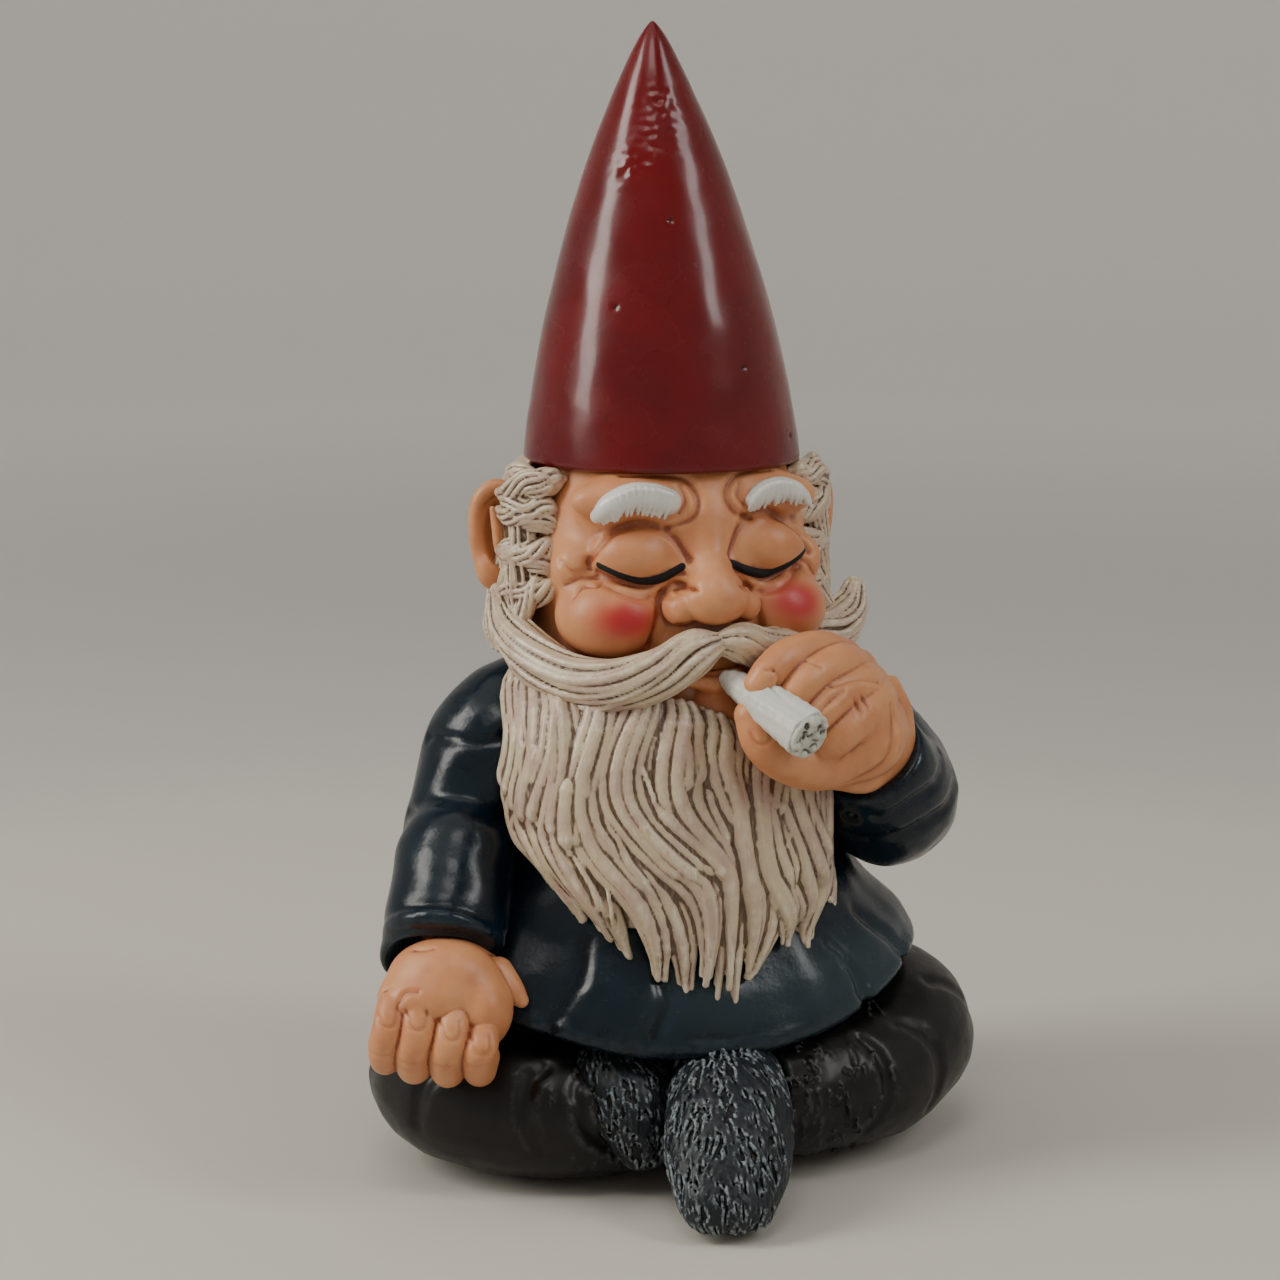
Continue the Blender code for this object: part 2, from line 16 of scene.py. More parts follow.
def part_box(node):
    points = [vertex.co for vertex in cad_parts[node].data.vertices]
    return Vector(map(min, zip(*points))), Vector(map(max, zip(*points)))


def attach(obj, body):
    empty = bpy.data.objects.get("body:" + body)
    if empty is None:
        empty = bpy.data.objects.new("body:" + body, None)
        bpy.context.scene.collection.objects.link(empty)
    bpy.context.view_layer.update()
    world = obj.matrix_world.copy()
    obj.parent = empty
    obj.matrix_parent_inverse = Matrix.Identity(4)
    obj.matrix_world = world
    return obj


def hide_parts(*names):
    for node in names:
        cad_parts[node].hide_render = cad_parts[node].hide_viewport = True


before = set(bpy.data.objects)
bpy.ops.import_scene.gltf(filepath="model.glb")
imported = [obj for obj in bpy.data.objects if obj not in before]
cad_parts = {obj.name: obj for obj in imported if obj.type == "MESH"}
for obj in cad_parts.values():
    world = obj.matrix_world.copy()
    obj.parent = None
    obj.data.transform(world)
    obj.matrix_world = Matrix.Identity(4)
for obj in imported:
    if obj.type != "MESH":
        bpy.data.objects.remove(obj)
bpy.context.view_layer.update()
MM = 0.001
RIGHT, LEFT = -1, 1  # the gnome's own sides
BAND = 6.0  # a field knows distances up to this, and holds it in empty space
SKIRT = 2.3  # fur stays this far above the floor


# ---------------------------------------------------------------- frame

def box(node):
    """Lowest and highest corner of a CAD node."""
    low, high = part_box(node)
    return np.array(low) / MM, np.array(high) / MM


MIDDLE = sum(corner[0] for corner in box("base_plate")) / 2


def cad_mesh(node):
    """Points and triangles of a CAD node."""
    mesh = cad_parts[node].data
    mesh.calc_loop_triangles()
    points = np.zeros(len(mesh.vertices) * 3)
    mesh.vertices.foreach_get("co", points)
    faces = np.zeros(len(mesh.loop_triangles) * 3, np.int32)
    mesh.loop_triangles.foreach_get("vertices", faces)
    return points.reshape(-1, 3) / MM, faces.reshape(-1, 3)


def foot(node):
    """On the gnome's middle plane, level with a node's front and its underside."""
    low, _ = box(node)
    return np.array((MIDDLE, low[1], low[2]))


def tree_of(*nodes):
    """A search tree over CAD nodes."""
    points, faces = [], []
    for node in nodes:
        co, tris = cad_mesh(node)
        faces += (tris + sum(len(p) for p in points)).tolist()
        points.append(co)
    return BVHTree.FromPolygons(np.concatenate(points).tolist(), faces)


# ---------------------------------------------------------------- distance fields

def smooth_min(a, b, k):
    """The smaller of two distances, rounded off where they differ by less than k."""
    if k <= 0:
        return np.minimum(a, b)
    h = np.maximum(k - np.abs(a - b), 0) / k
    return np.minimum(a, b) - h * h * k * 0.25


def blend(grid, u, v):
    """The value of a grid at fractional indices u and v."""
    u = np.clip(u, 0, grid.shape[0] - 1.001)
    v = np.clip(v, 0, grid.shape[1] - 1.001)
    i, j = u.astype(int), v.astype(int)
    a, b = u - i, v - j
    return ((grid[i, j] * (1 - a) + grid[i + 1, j] * a) * (1 - b)
            + (grid[i, j + 1] * (1 - a) + grid[i + 1, j + 1] * a) * b)


class Field:
    """Signed distance on a grid, into which shapes are melted, or cut.

    The grid lies in the frame. The places of shapes are offsets from origin. k is how far a
    shape blends into what is there, and cut takes it away instead.
    """

    def __init__(self, low, high, step, origin=(0, 0, 0)):
        self.step = step
        self.origin = np.asarray(origin, float)
        self.low = np.asarray(low, np.float32)
        self.count = np.ceil((np.asarray(high) - self.low) / step).astype(int) + 1
        self.d = np.full(self.count, BAND, np.float32)

    def window(self, low, high):
        """The part of the grid between two corners, as slices and as its x, y and z."""
        a = np.clip(np.floor((low - self.low) / self.step), 0, self.count - 1).astype(int)
        b = np.clip(np.ceil((high - self.low) / self.step) + 1, a + 1, self.count).astype(int)
        x, y, z = (self.low[k] + self.step * np.arange(a[k], b[k], dtype=np.float32)
                   for k in range(3))
        return tuple(map(slice, a, b)), (x[:, None, None], y[None, :, None], z[None, None, :])

    def axes(self):
        """x, y and z of the grid's points, shaped to spread over the whole grid."""
        return self.window(self.low, self.low + self.step * self.count)[1]

    def merge(self, part, shape, k, cut):
        if cut:
            self.d[part] = -smooth_min(-self.d[part], shape, k)
        else:
            self.d[part] = smooth_min(self.d[part], shape, k)

    def blob(self, centre, radii, k=1.0, cut=False, turn=0.0):
        """An ellipsoid, turned about Z by an angle in degrees."""
        centre, radii = self.origin + centre, np.array(radii, float)
        reach = max(radii) + k + 2.5
        part, axes = self.window(centre - reach, centre + reach)
        p = [a - c for a, c in zip(axes, centre)]
        if turn:
            c, s = math.cos(math.radians(turn)), math.sin(math.radians(turn))
            p[0], p[1] = c * p[0] + s * p[1], c * p[1] - s * p[0]
        q = sum((v / r) ** 2 for v, r in zip(p, radii))
        g = sum((v / r ** 2) ** 2 for v, r in zip(p, radii))
        length = np.sqrt(q)
        shape = length * (length - 1) / np.sqrt(np.maximum(g, 1e-9))
        self.merge(part, np.clip(shape, -30, 30), k, cut)

    def chain(self, points, k=0.5, cut=False):
        """A tapered tube through (x, y, z, radius)."""
        points = np.asarray(points, float) + (*self.origin, 0)
        reach = points[:, 3].max() + k + 1.5
        part, axes = self.window(points[:, :3].min(0) - reach, points[:, :3].max(0) + reach)
        shape = np.full([len(a.ravel()) for a in axes], BAND, np.float32)
        origin = np.array([a.ravel()[0] for a in axes])
        for p, q in zip(points, points[1:]):
            near = max(p[3], q[3]) + k + 1.5
            a = np.floor((np.minimum(p, q)[:3] - near - origin) / self.step).astype(int)
            b = np.ceil((np.maximum(p, q)[:3] + near - origin) / self.step).astype(int) + 1
            a, b = np.clip(a, 0, shape.shape), np.clip(b, 0, shape.shape)
            if (b <= a).any():
                continue
            inner = tuple(map(slice, a, b))
            x, y, z = (axis.ravel()[s] for axis, s in zip(axes, inner))
            v = [x[:, None, None] - p[0], y[None, :, None] - p[1], z[None, None, :] - p[2]]
            along = q[:3] - p[:3]
            t = sum(c * d for c, d in zip(v, along)) / max(along @ along, 1e-9)
            t = np.clip(t, 0, 1).astype(np.float32)
            d = np.sqrt(sum((c - d * t) ** 2 for c, d in zip(v, along)))
            d -= p[3] + (q[3] - p[3]) * t
            shape[inner] = np.minimum(shape[inner], d)
        self.merge(part, shape, k, cut)

    def front(self, x, z):
        """The y at which a line along +Y first enters the shape, or None."""
        u, v = (np.array((x, z)) + self.origin[[0, 2]] - self.low[[0, 2]]) / self.step
        column = blend(self.d.swapaxes(1, 2), u, v)
        inside = np.flatnonzero(column < 0)
        if not len(inside) or inside[0] == 0:
            return None
        n = inside[0]
        share = column[n - 1] / (column[n - 1] - column[n])
        return float(self.low[1] + self.step * (n - 1 + share) - self.origin[1])

    def line(self, points, lift=0.0, k=0.5, cut=False, steps=6):
        """A tube along the front surface, through (x, z, radius)."""
        laid = []
        for x, z, r in curve(points, steps):
            y = self.front(x, z)
            if y is not None:
                laid.append((x, y - lift, z, r))
        if len(laid) > 1:
            self.chain(laid, k, cut)
        return laid

    def soften(self, times):
        """Blurs the field, which rounds off facets and edges."""
        for _ in range(times):
            for axis in range(3):
                d = np.moveaxis(self.d, axis, 0)
                d[1:-1] = (d[:-2] + 2 * d[1:-1] + d[2:]) / 4


def cad_field(node, step, soften=6, grow=0.0, origin=(0, 0, 0)):
    """The distance to a CAD node's surface, with its facets smoothed away.

    grow moves the surface outwards.
    """
    low, high = box(node)
    field = Field(low - 4, high + 4, step, origin)
    points, faces = cad_mesh(node)
    grid = openvdb.FloatGrid.createLevelSetFromPolygons(
        ((points - field.low) / step).astype(np.float32), triangles=faces.astype(np.uint32),
        transform=openvdb.createLinearTransform(1.0), halfWidth=BAND)
    values = np.full(field.count, BAND, np.float32)
    grid.copyToArray(values, ijk=(0, 0, 0))
    field.d = values * step - grow
    field.soften(soften)
    return field


def crease(field, tree, points, k=2.6):
    """A soft valley pressed into a surface near (x, y, z, radius)."""
    laid = []
    for x, y, z, r in curve(points, 6):
        spot, normal, _, _ = tree.find_nearest(Vector(field.origin + (x, y, z)))
        laid.append((*(spot + normal * 0.35 - Vector(field.origin)), r))
    field.chain(laid, k, True)


def fur(field, node, count, seed, length, radius, keep=None):
    """Short strands that lie on a CAD node and point down. keep picks their roots."""
    tree = tree_of(node)
    rng = np.random.default_rng(seed)
    points, faces = cad_mesh(node)
    corners = points[faces]
    area = np.linalg.norm(np.cross(corners[:, 1] - corners[:, 0],
                                   corners[:, 2] - corners[:, 0]), axis=1)
    for pick in rng.choice(len(faces), count, p=area / area.sum()):
        p = Vector(rng.dirichlet((1, 1, 1)) @ corners[pick])
        lean = rng.normal(0, 0.28)
        reach = rng.uniform(0.6, 1.2) * length
        size = radius * rng.uniform(0.75, 1.25)
        if keep and not keep(p):
            continue
        strand = []
        for s in np.linspace(0, 1, 5):
            spot, normal, _, _ = tree.find_nearest(p)
            down = Vector((0, -0.35, -1))
            down = down - down.dot(normal) * normal
            if down.length < 0.05:
                break
            way = down.normalized() + normal.cross(down.normalized()) * lean
            out = spot + normal * (0.30 * math.sin(s * math.pi))
            if out.z > SKIRT:
                strand.append((*(out - Vector(field.origin)), size * (1 - 0.7 * s)))
            p = spot + way.normalized() * reach / 4
        if len(strand) > 2:
            field.chain(strand, 0.12)


# ---------------------------------------------------------------- curves

def curve(points, steps=6):
    """Catmull-Rom points through rows of numbers, steps to a row."""
    p = np.asarray(points, float)
    p = np.vstack((2 * p[0] - p[1], p, 2 * p[-1] - p[-2]))
    rows = []
    for i in range(1, len(p) - 2):
        for t in np.arange(steps) / steps:
            a, b, c, d = p[i - 1:i + 3]
            rows.append(0.5 * (2 * b + (c - a) * t + (2 * a - 5 * b + 4 * c - d) * t * t
                               + (3 * b - a - 3 * c + d) * t ** 3))
    rows.append(p[-2])
    return np.array(rows)


def at(line, t):
    """The row at a share t along an evenly sampled line."""
    f = np.clip(t, 0, 1) * (len(line) - 1)
    i = np.minimum(f.astype(int), len(line) - 2)
    return line[i] + (line[i + 1] - line[i]) * np.expand_dims(f - i, -1)


def bundle(field, rows, count, radius, seed, out, twist, wave=0.5, ends=(0.35, 0.15)):
    """A lock of hair along rows of (x, y, z, half width, half depth), made of fine strands.

    out is the direction that the lock's outer side faces.
    """
    k = 0.12
    rng = np.random.default_rng(seed)
    line = curve(rows, 6)
    centre, wide, deep = line[:, :3], line[:, 3], line[:, 4]
    tangent = np.gradient(centre, axis=0)
    tangent /= np.linalg.norm(tangent, axis=1)[:, None]
    facing = np.array(out, float)
    depth_axis = facing - (tangent @ facing)[:, None] * tangent
    depth_axis /= np.linalg.norm(depth_axis, axis=1)[:, None]
    side_axis = np.cross(tangent, depth_axis)
    t = np.linspace(0, 1, len(line))
    for share in (-0.5, 0.0, 0.5):  # a flat core, so that no gap opens between strands
        offset = side_axis * (share * np.maximum(wide - deep, 0) * 1.6)[:, None]
        field.chain(np.column_stack((centre + offset, np.minimum(wide, deep) * 0.72)), k)
    for i in range(count):
        angle = (i + 0.5) / count * 2 * math.pi + rng.normal(0, 0.07)
        angle = angle + twist * (t - 0.5) * 2 * math.pi
        ripple = wave * np.sin(2 * math.pi * (t * rng.uniform(0.8, 1.6) + rng.uniform()))
        size = radius * rng.uniform(0.7, 1.3)
        reach = 1.0 - 0.6 * size / np.maximum(np.minimum(wide, deep), size)
        reach = reach * rng.uniform(0.94, 1.07)
        a = np.sin(angle) * wide * reach + ripple * 0.6
        b = -np.cos(angle) * deep * reach
        taper = np.minimum(1, (t / 0.12) * (1 - ends[0]) + ends[0])
        taper = taper * np.minimum(1, ((1 - t) / 0.25) * (1 - ends[1]) + ends[1])
        p = centre + side_axis * a[:, None] + depth_axis * b[:, None]
        field.chain(np.column_stack((p, size * taper)), k)


# ---------------------------------------------------------------- meshes

def spread(values, ends, count, times):
    """Averages values over neighbouring vertices, again and again."""
    near = np.bincount(ends.ravel(), minlength=count)[:, None]
    for _ in range(times):
        sums = np.stack([
            np.bincount(ends[:, 0], values[ends[:, 1], c], count)
            + np.bincount(ends[:, 1], values[ends[:, 0], c], count)
            for c in range(values.shape[1])], 1)
        values = 0.4 * values + 0.6 * sums / np.maximum(near, 1)
    return values


def largest_part(points, quads):
    """Keeps the largest connected piece of a mesh."""
    label = np.arange(len(points))
    ends = np.concatenate([quads[:, [i, (i + 1) % 4]] for i in range(4)])
    while True:
        before = label.copy()
        low = np.minimum(label[ends[:, 0]], label[ends[:, 1]])
        np.minimum.at(label, ends[:, 0], low)
        np.minimum.at(label, ends[:, 1], low)
        label = label[label]
        if (label == before).all():
            break
    sizes = np.bincount(label[quads[:, 0]], minlength=len(points))
    quads = quads[label[quads[:, 0]] == sizes.argmax()]
    used, index = np.unique(quads, return_inverse=True)
    return points[used], index.reshape(-1, 4)


def mesh_object(name, points, quads, material, node, relief, gain, masks=()):
    """A smooth mesh in place of a CAD node, with the attributes that its paint reads.

    cavity is 0.5 on even ground, more in a groove and less on a ridge. relief is how many rounds
    of averaging make the even ground, and gain is how strongly a groove counts.
    """
    a, b, c = (points[quads[:, i]] for i in range(3))
    if np.einsum("ij,ij->", a, np.cross(b, c)) < 0:
        quads = quads[:, ::-1]
    mesh = bpy.data.meshes.new(name)
    mesh.vertices.add(len(points))
    mesh.vertices.foreach_set("co", (points * MM).astype(np.float32).ravel())
    mesh.loops.add(quads.size)
    mesh.loops.foreach_set("vertex_index", quads.astype(np.int32).ravel())
    mesh.polygons.add(len(quads))
    mesh.polygons.foreach_set("loop_start", np.arange(0, quads.size, 4, dtype=np.int32))
    mesh.update(calc_edges=True)
    mesh.validate()
    mesh.shade_smooth()
    normals = np.zeros(len(points) * 3, np.float32)
    mesh.vertex_normals.foreach_get("vector", normals)
    ends = np.zeros(len(mesh.edges) * 2, np.int32)
    mesh.edges.foreach_get("vertices", ends)
    even = spread(points, ends.reshape(-1, 2), len(points), relief)
    groove = np.einsum("ij,ij->i", even - points, normals.reshape(-1, 3))
    values = {"cavity": np.clip(0.5 + groove * gain, 0, 1), **dict(masks)}
    for key, value in values.items():
        made = mesh.attributes.new(key, "FLOAT", "POINT")
        made.data.foreach_set("value", np.asarray(value, np.float32))
    mesh.materials.append(material)
    obj = bpy.data.objects.new(name, mesh)
    bpy.context.scene.collection.objects.link(obj)
    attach(obj, "root")
    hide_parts(node)


def field_object(name, field, material, slot, node, relief, gain, **masks):
    """The surface of a field as a mesh object. masks gives each extra attribute a rule."""
    grid = openvdb.FloatGrid(BAND)
    grid.copyFromArray(field.d)
    points, quads = grid.convertToQuads(0.0)
    points = points.astype(float) * field.step + field.low
    points, quads = largest_part(points, quads.astype(int))
    masks = {key: rule(points - field.origin) for key, rule in masks.items()}
    mesh_object(name, points, quads, material, node, relief, gain, masks)


def patches(*rows):
    """A rule for soft patches, each given by its place and its reach along x, y and z."""
    def rule(p):
        made = sum(np.exp(-(((p - row[:3]) / row[3:]) ** 2).sum(1)) for row in map(np.array, rows))
        return np.clip(made, 0, 1)

    return rule


# ---------------------------------------------------------------- materials

class Nodes:
    """A short way to write a node tree."""

    def __init__(self, name):
        self.material = bpy.data.materials.new(name)
        self.material.use_nodes = True
        self.tree = self.material.node_tree
        self.shader = self.tree.nodes["Principled BSDF"]
        self.place = self.add("TexCoord").outputs["Object"]

    def add(self, kind, **settings):
        node = self.tree.nodes.new("ShaderNode" + kind)
        for key, value in settings.items():
            setattr(node, key, value)
        return node

    def put(self, socket, value):
        if isinstance(value, bpy.types.NodeSocket):
            self.tree.links.new(value, socket)
        elif isinstance(value, tuple) and len(value) == 3 and socket.type == "RGBA":
            socket.default_value = (*value, 1)
        else:
            socket.default_value = value

    def value(self, attribute):
        return self.add("Attribute", attribute_name=attribute).outputs["Fac"]

    def noise(self, size, detail=3.0, rough=0.55, stretch=None):
        """Noise whose features are about size millimetres across."""
        node = self.add("TexNoise")
        vector = self.place
        if stretch:
            mapping = self.add("Mapping")
            self.put(mapping.inputs["Vector"], vector)
            mapping.inputs["Scale"].default_value = stretch
            vector = mapping.outputs["Vector"]
        self.put(node.inputs["Vector"], vector)
        node.inputs["Scale"].default_value = 1 / (size * MM)
        node.inputs["Detail"].default_value = detail
        node.inputs["Roughness"].default_value = rough
        return node.outputs["Fac"]

    def ramp(self, value, low, high, to_low=0.0, to_high=1.0):
        node = self.add("MapRange", interpolation_type="SMOOTHSTEP")
        self.put(node.inputs["Value"], value)
        for key, number in (("From Min", low), ("From Max", high), ("To Min", to_low),
                            ("To Max", to_high)):
            node.inputs[key].default_value = number
        return node.outputs["Result"]

    def math(self, operation, a, b=0.5):
        node = self.add("Math", operation=operation)
        self.put(node.inputs[0], a)
        self.put(node.inputs[1], b)
        return node.outputs[0]

    def mix(self, share, a, b):
        """A mix of colours, whose sockets come after those for numbers and vectors."""
        node = self.add("Mix", data_type="RGBA")
        for socket, value in ((0, share), (6, a), (7, b)):
            self.put(node.inputs[socket], value)
        return node.outputs[2]

    def bump(self, height, depth, normal=None):
        """depth is in millimetres."""
        node = self.add("Bump")
        node.inputs["Distance"].default_value = depth * MM
        self.put(node.inputs["Height"], height)
        if normal:
            self.put(node.inputs["Normal"], normal)
        return node.outputs["Normal"]


def paint(name, base, shade, wash_and_shade, light, rough=0.35, groove=(0.52, 0.72), wash_and_shade_share=0.9,
          ridge=(0.46, 0.30), light_share=0.5, mottle=9.0, grain=0.7, grain_depth=0.05,
          brush=None, layers=(), coat=0.0, specular=0.5, matt=None):
    """Hand-painted resin: mottled base coat, wash and painted shade in the grooves, dry brush and
    painted highlight on the ridges.

    groove and ridge are the cavity values between which the wash with its painted shade and the brush
    with its painted highlight set in. Each of layers tints by an attribute, and matt names one that
    takes the gloss away. mottle and grain are sizes in millimetres.
    """
    n = Nodes(name)
    cavity = n.value("cavity")
    broad = n.ramp(n.noise(mottle, 4), 0.35, 0.65)
    fine = n.noise(grain, 4, 0.6, stretch=brush)
    colour = n.mix(broad, base, shade)
    # painted shade: the grooves take the wash colour, which stands partly for paint wash and partly for
    # the shade that falls in them
    deep = n.math("MULTIPLY", n.ramp(cavity, *groove), n.ramp(fine, 0.25, 0.6, 0.7, 1.0))
    colour = n.mix(n.math("MULTIPLY", deep, wash_and_shade_share), colour, wash_and_shade)
    # painted highlight: the ridges take the light colour, which stands partly for dry brush and partly
    # for light catching them
    top = n.math("MULTIPLY", n.ramp(cavity, *ridge),
                 n.ramp(n.noise(grain * 2.5, 4, 0.7, stretch=brush), 0.38, 0.6))
    colour = n.mix(n.math("MULTIPLY", top, light_share), colour, light)
    for attribute, tint, low, high, share in layers:
        colour = n.mix(n.ramp(n.value(attribute), low, high, 0.0, share), colour, tint)
    n.put(n.shader.inputs["Base Color"], colour)
    gloss = n.ramp(n.noise(mottle * 0.4, 4), 0.3, 0.7, rough - 0.06, rough + 0.06)
    if matt:
        gloss = n.math("MAXIMUM", gloss, n.ramp(n.value(matt), 0.45, 0.55, 0.0, 0.85))
    n.put(n.shader.inputs["Roughness"], gloss)
    n.put(n.shader.inputs["Normal"], n.bump(fine, grain_depth, n.bump(broad, grain_depth)))
    for socket, value in (("Specular IOR Level", specular), ("Coat Weight", coat),
                          ("Coat Roughness", 0.12)):
        n.shader.inputs[socket].default_value = value
    return n.material


# Each paint lists base, mottle, groove and ridge colours; the groove colour is wash and painted shade,
# the ridge colour is dry brush and painted highlight.
RED = paint("hat_red_paint", (0.140, 0.0002, 0.0022), (0.098, 0.0002, 0.0026),
            (0.035, 0.001, 0.002), (0.18, 0.008, 0.016), rough=0.25, mottle=26, grain=0.5,
            grain_depth=0.02, coat=0.3, specular=0.3, light_share=0.1)
# skin: base, mottle, groove colour (wash and painted shade) and ridge colour (dry brush and painted
# highlight)
SKIN_TONES = ((0.655, 0.285, 0.125), (0.56, 0.212, 0.088), (0.22, 0.040, 0.014),
              (0.78, 0.43, 0.22))
SKIN = paint("skin_paint", *SKIN_TONES, rough=0.42, groove=(0.52, 0.69), mottle=13,
             light_share=0.35, grain_depth=0.03, matt="ink", layers=(
                 ("blush", (0.46, 0.008, 0.020), 0.05, 0.95, 0.95),
                 ("shadow", (0.17, 0.12, 0.105), 0.1, 0.9, 0.85),
                 # painted shade: brown darkening along the lower edge of the right cheek, at the
                 # nostrils and under the lower lip
                 ("crease", (0.42, 0.105, 0.035), 0.1, 0.9, 0.7),
                 ("ink", (0.003, 0.0025, 0.0025), 0.47, 0.53, 1.0)))
HAND = paint("hand_paint", *SKIN_TONES, rough=0.42, groove=(0.52, 0.70), mottle=11,
             light_share=0.4, grain_depth=0.03)
CREAM, CREAM_ACROSS = (
    paint(name, (0.585, 0.47, 0.315), (0.50, 0.352, 0.268), (0.070, 0.028, 0.008),
          (0.82, 0.75, 0.60), rough=0.32, groove=(0.50, 0.62), mottle=7, grain=0.55,
          grain_depth=0.13, wash_and_shade_share=0.95, ridge=(0.44, 0.30), light_share=0.65, coat=0.25,
          brush=brush)
    for name, brush in (("beard_paint", (1.0, 1.0, 0.14)), ("moustache_paint", (0.14, 0.5, 1.0))))
WHITE = paint("brow_paint", (0.72, 0.71, 0.67), (0.64, 0.62, 0.58), (0.12, 0.055, 0.02),
              (0.86, 0.85, 0.81), rough=0.28, groove=(0.53, 0.75), grain=0.4, coat=0.3)
NAVY = paint("coat_paint", (0.0022, 0.0075, 0.0145), (0.0035, 0.012, 0.021),
             (0.001, 0.002, 0.004), (0.035, 0.065, 0.085), rough=0.23, mottle=11, grain=0.9,
             light_share=0.2, coat=0.07, specular=0.30,
             layers=(("scuff", (0.030, 0.054, 0.068), 0.0, 1.0, 0.55),))
CHARCOAL = paint("trouser_paint", (0.0042, 0.0036, 0.0036), (0.0065, 0.0055, 0.0052),
                 (0.001, 0.001, 0.001), (0.06, 0.064, 0.068), rough=0.36, mottle=9,
                 ridge=(0.46, 0.34), light_share=0.55, coat=0.08, specular=0.28)
SLATE = paint("boot_paint", (0.009, 0.014, 0.020), (0.006, 0.009, 0.014), (0.001, 0.0015, 0.002),
              (0.25, 0.30, 0.32), rough=0.42, groove=(0.50, 0.60), ridge=(0.43, 0.31),
              light_share=0.85, grain=0.5, specular=0.35)
PAPER = paint("paper_paint", (0.60, 0.62, 0.56), (0.66, 0.65, 0.60), (0.16, 0.14, 0.09),
              (0.78, 0.78, 0.73), rough=0.34, groove=(0.52, 0.75), mottle=6, grain=0.6)
ASH = paint("ash_paint", (0.56, 0.56, 0.49), (0.44, 0.43, 0.36), (0.04, 0.025, 0.012),
            (0.70, 0.69, 0.62), rough=0.55, groove=(0.51, 0.62), mottle=2, grain=0.4)
RESIN = paint("bare_resin", (0.62, 0.59, 0.53), (0.56, 0.53, 0.47), (0.4, 0.37, 0.32),
              (0.7, 0.68, 0.63), rough=0.6, mottle=8)
FOAM = paint("foam_pad", (0.022, 0.022, 0.023), (0.03, 0.03, 0.031), (0.01, 0.01, 0.01),
             (0.05, 0.05, 0.05), rough=0.9, mottle=3, grain=0.3, grain_depth=0.2)
STEEL = paint("pin_steel", (0.5, 0.5, 0.51), (0.42, 0.42, 0.43), (0.2, 0.2, 0.2),
              (0.6, 0.6, 0.6), rough=0.32, mottle=3, grain=0.3)
STEEL.node_tree.nodes["Principled BSDF"].inputs["Metallic"].default_value = 1.0


# ---------------------------------------------------------------- hat

def make_hat():
    low, high = box("hat")
    radius, height = (high[0] - low[0]) / 2, high[2] - low[2]
    middle = (low + high) / 2
    around, up = 260, 250
    lean = 2.2  # how far the tip stands over to the gnome's right
    rounded = 1.6  # how much of the rim's edge is rounded off
    crumples = ((70.7, -105, 4.5), (63.7, -128, 3.5), (77.7, -98, 3.0))
    pits = ((52.7, -99), (21.7, -67), (6.2, -38), (34.7, -130))

    def mark(a, r, z, rise, turn, size):
        """1 at a spot given by its rise above the rim and its angle, and less around it."""
        swing = r * math.radians((math.degrees(a) - turn + 540) % 360 - 180)
        return math.exp(-(math.hypot(z - low[2] - rise, swing) / size) ** 2)

    rows = []  # radius, height and share of the way down
    for j in range(up + 1):
        share = (j / up) ** 1.25  # closer together near the tip
        r = radius * (0.55 * share ** 0.62 + 0.45 * math.sin(math.pi / 2 * share))
        edge = min(1.0, (1 - share) * height / rounded)
        r *= 1 - 0.035 * (1 - math.sqrt(max(0.0, 1 - (1 - edge) ** 2)))
        rows.append((r, high[2] - share * height, share))
    for k, inward in enumerate((0.93, 0.88, 0.80)):  # the underside of the rim
        rows.append((radius * inward, low[2] + 0.05 * k, 1.0))
    points = []
    for r, z, share in rows:
        for i in range(around):
            a = 2 * math.pi * i / around
            p = Vector((math.cos(a) * r, math.sin(a) * r, z))
            dent = 0.35 * noise.noise(p / 22) + 0.10 * noise.noise(p / 7)
            crumple = sum(mark(a, r, z, *spot) for spot in crumples)
            dent += 0.34 * crumple * noise.noise(Vector((p.x / 2.0, p.y / 2.0, z / 1.4)))
            dent -= 0.5 * sum(mark(a, r, z, *spot, 0.6) for spot in pits)
            dent = min(dent, 0.25) * min(1.0, r / 4) * (1 if r > radius * 0.9 or share < 1 else 0)
            points.append((middle[0] + lean * (share - 0.95) + math.cos(a) * (r + dent),
                           middle[1] + math.sin(a) * (r + dent), z))
    index = np.arange(len(points)).reshape(len(rows), around)
    quads = np.stack((index[:-1], np.roll(index, -1, 1)[:-1], np.roll(index, -1, 1)[1:],
                      index[1:]), -1).reshape(-1, 4)
    mesh_object("hat_shell", np.array(points), quads, RED, "hat", relief=12, gain=1.0)


# ---------------------------------------------------------------- head

# both lines of lashes, from the gnome's right to its left, as (x, z) from the head's foot
LASHES = (((-22.4, 43.7), (-18.6, 41.9), (-14.2, 40.7), (-10.0, 41.1), (-5.7, 43.5)),
          ((5.0, 43.9), (9.2, 41.9), (13.7, 40.9), (18.0, 42.1), (24.0, 44.9)))


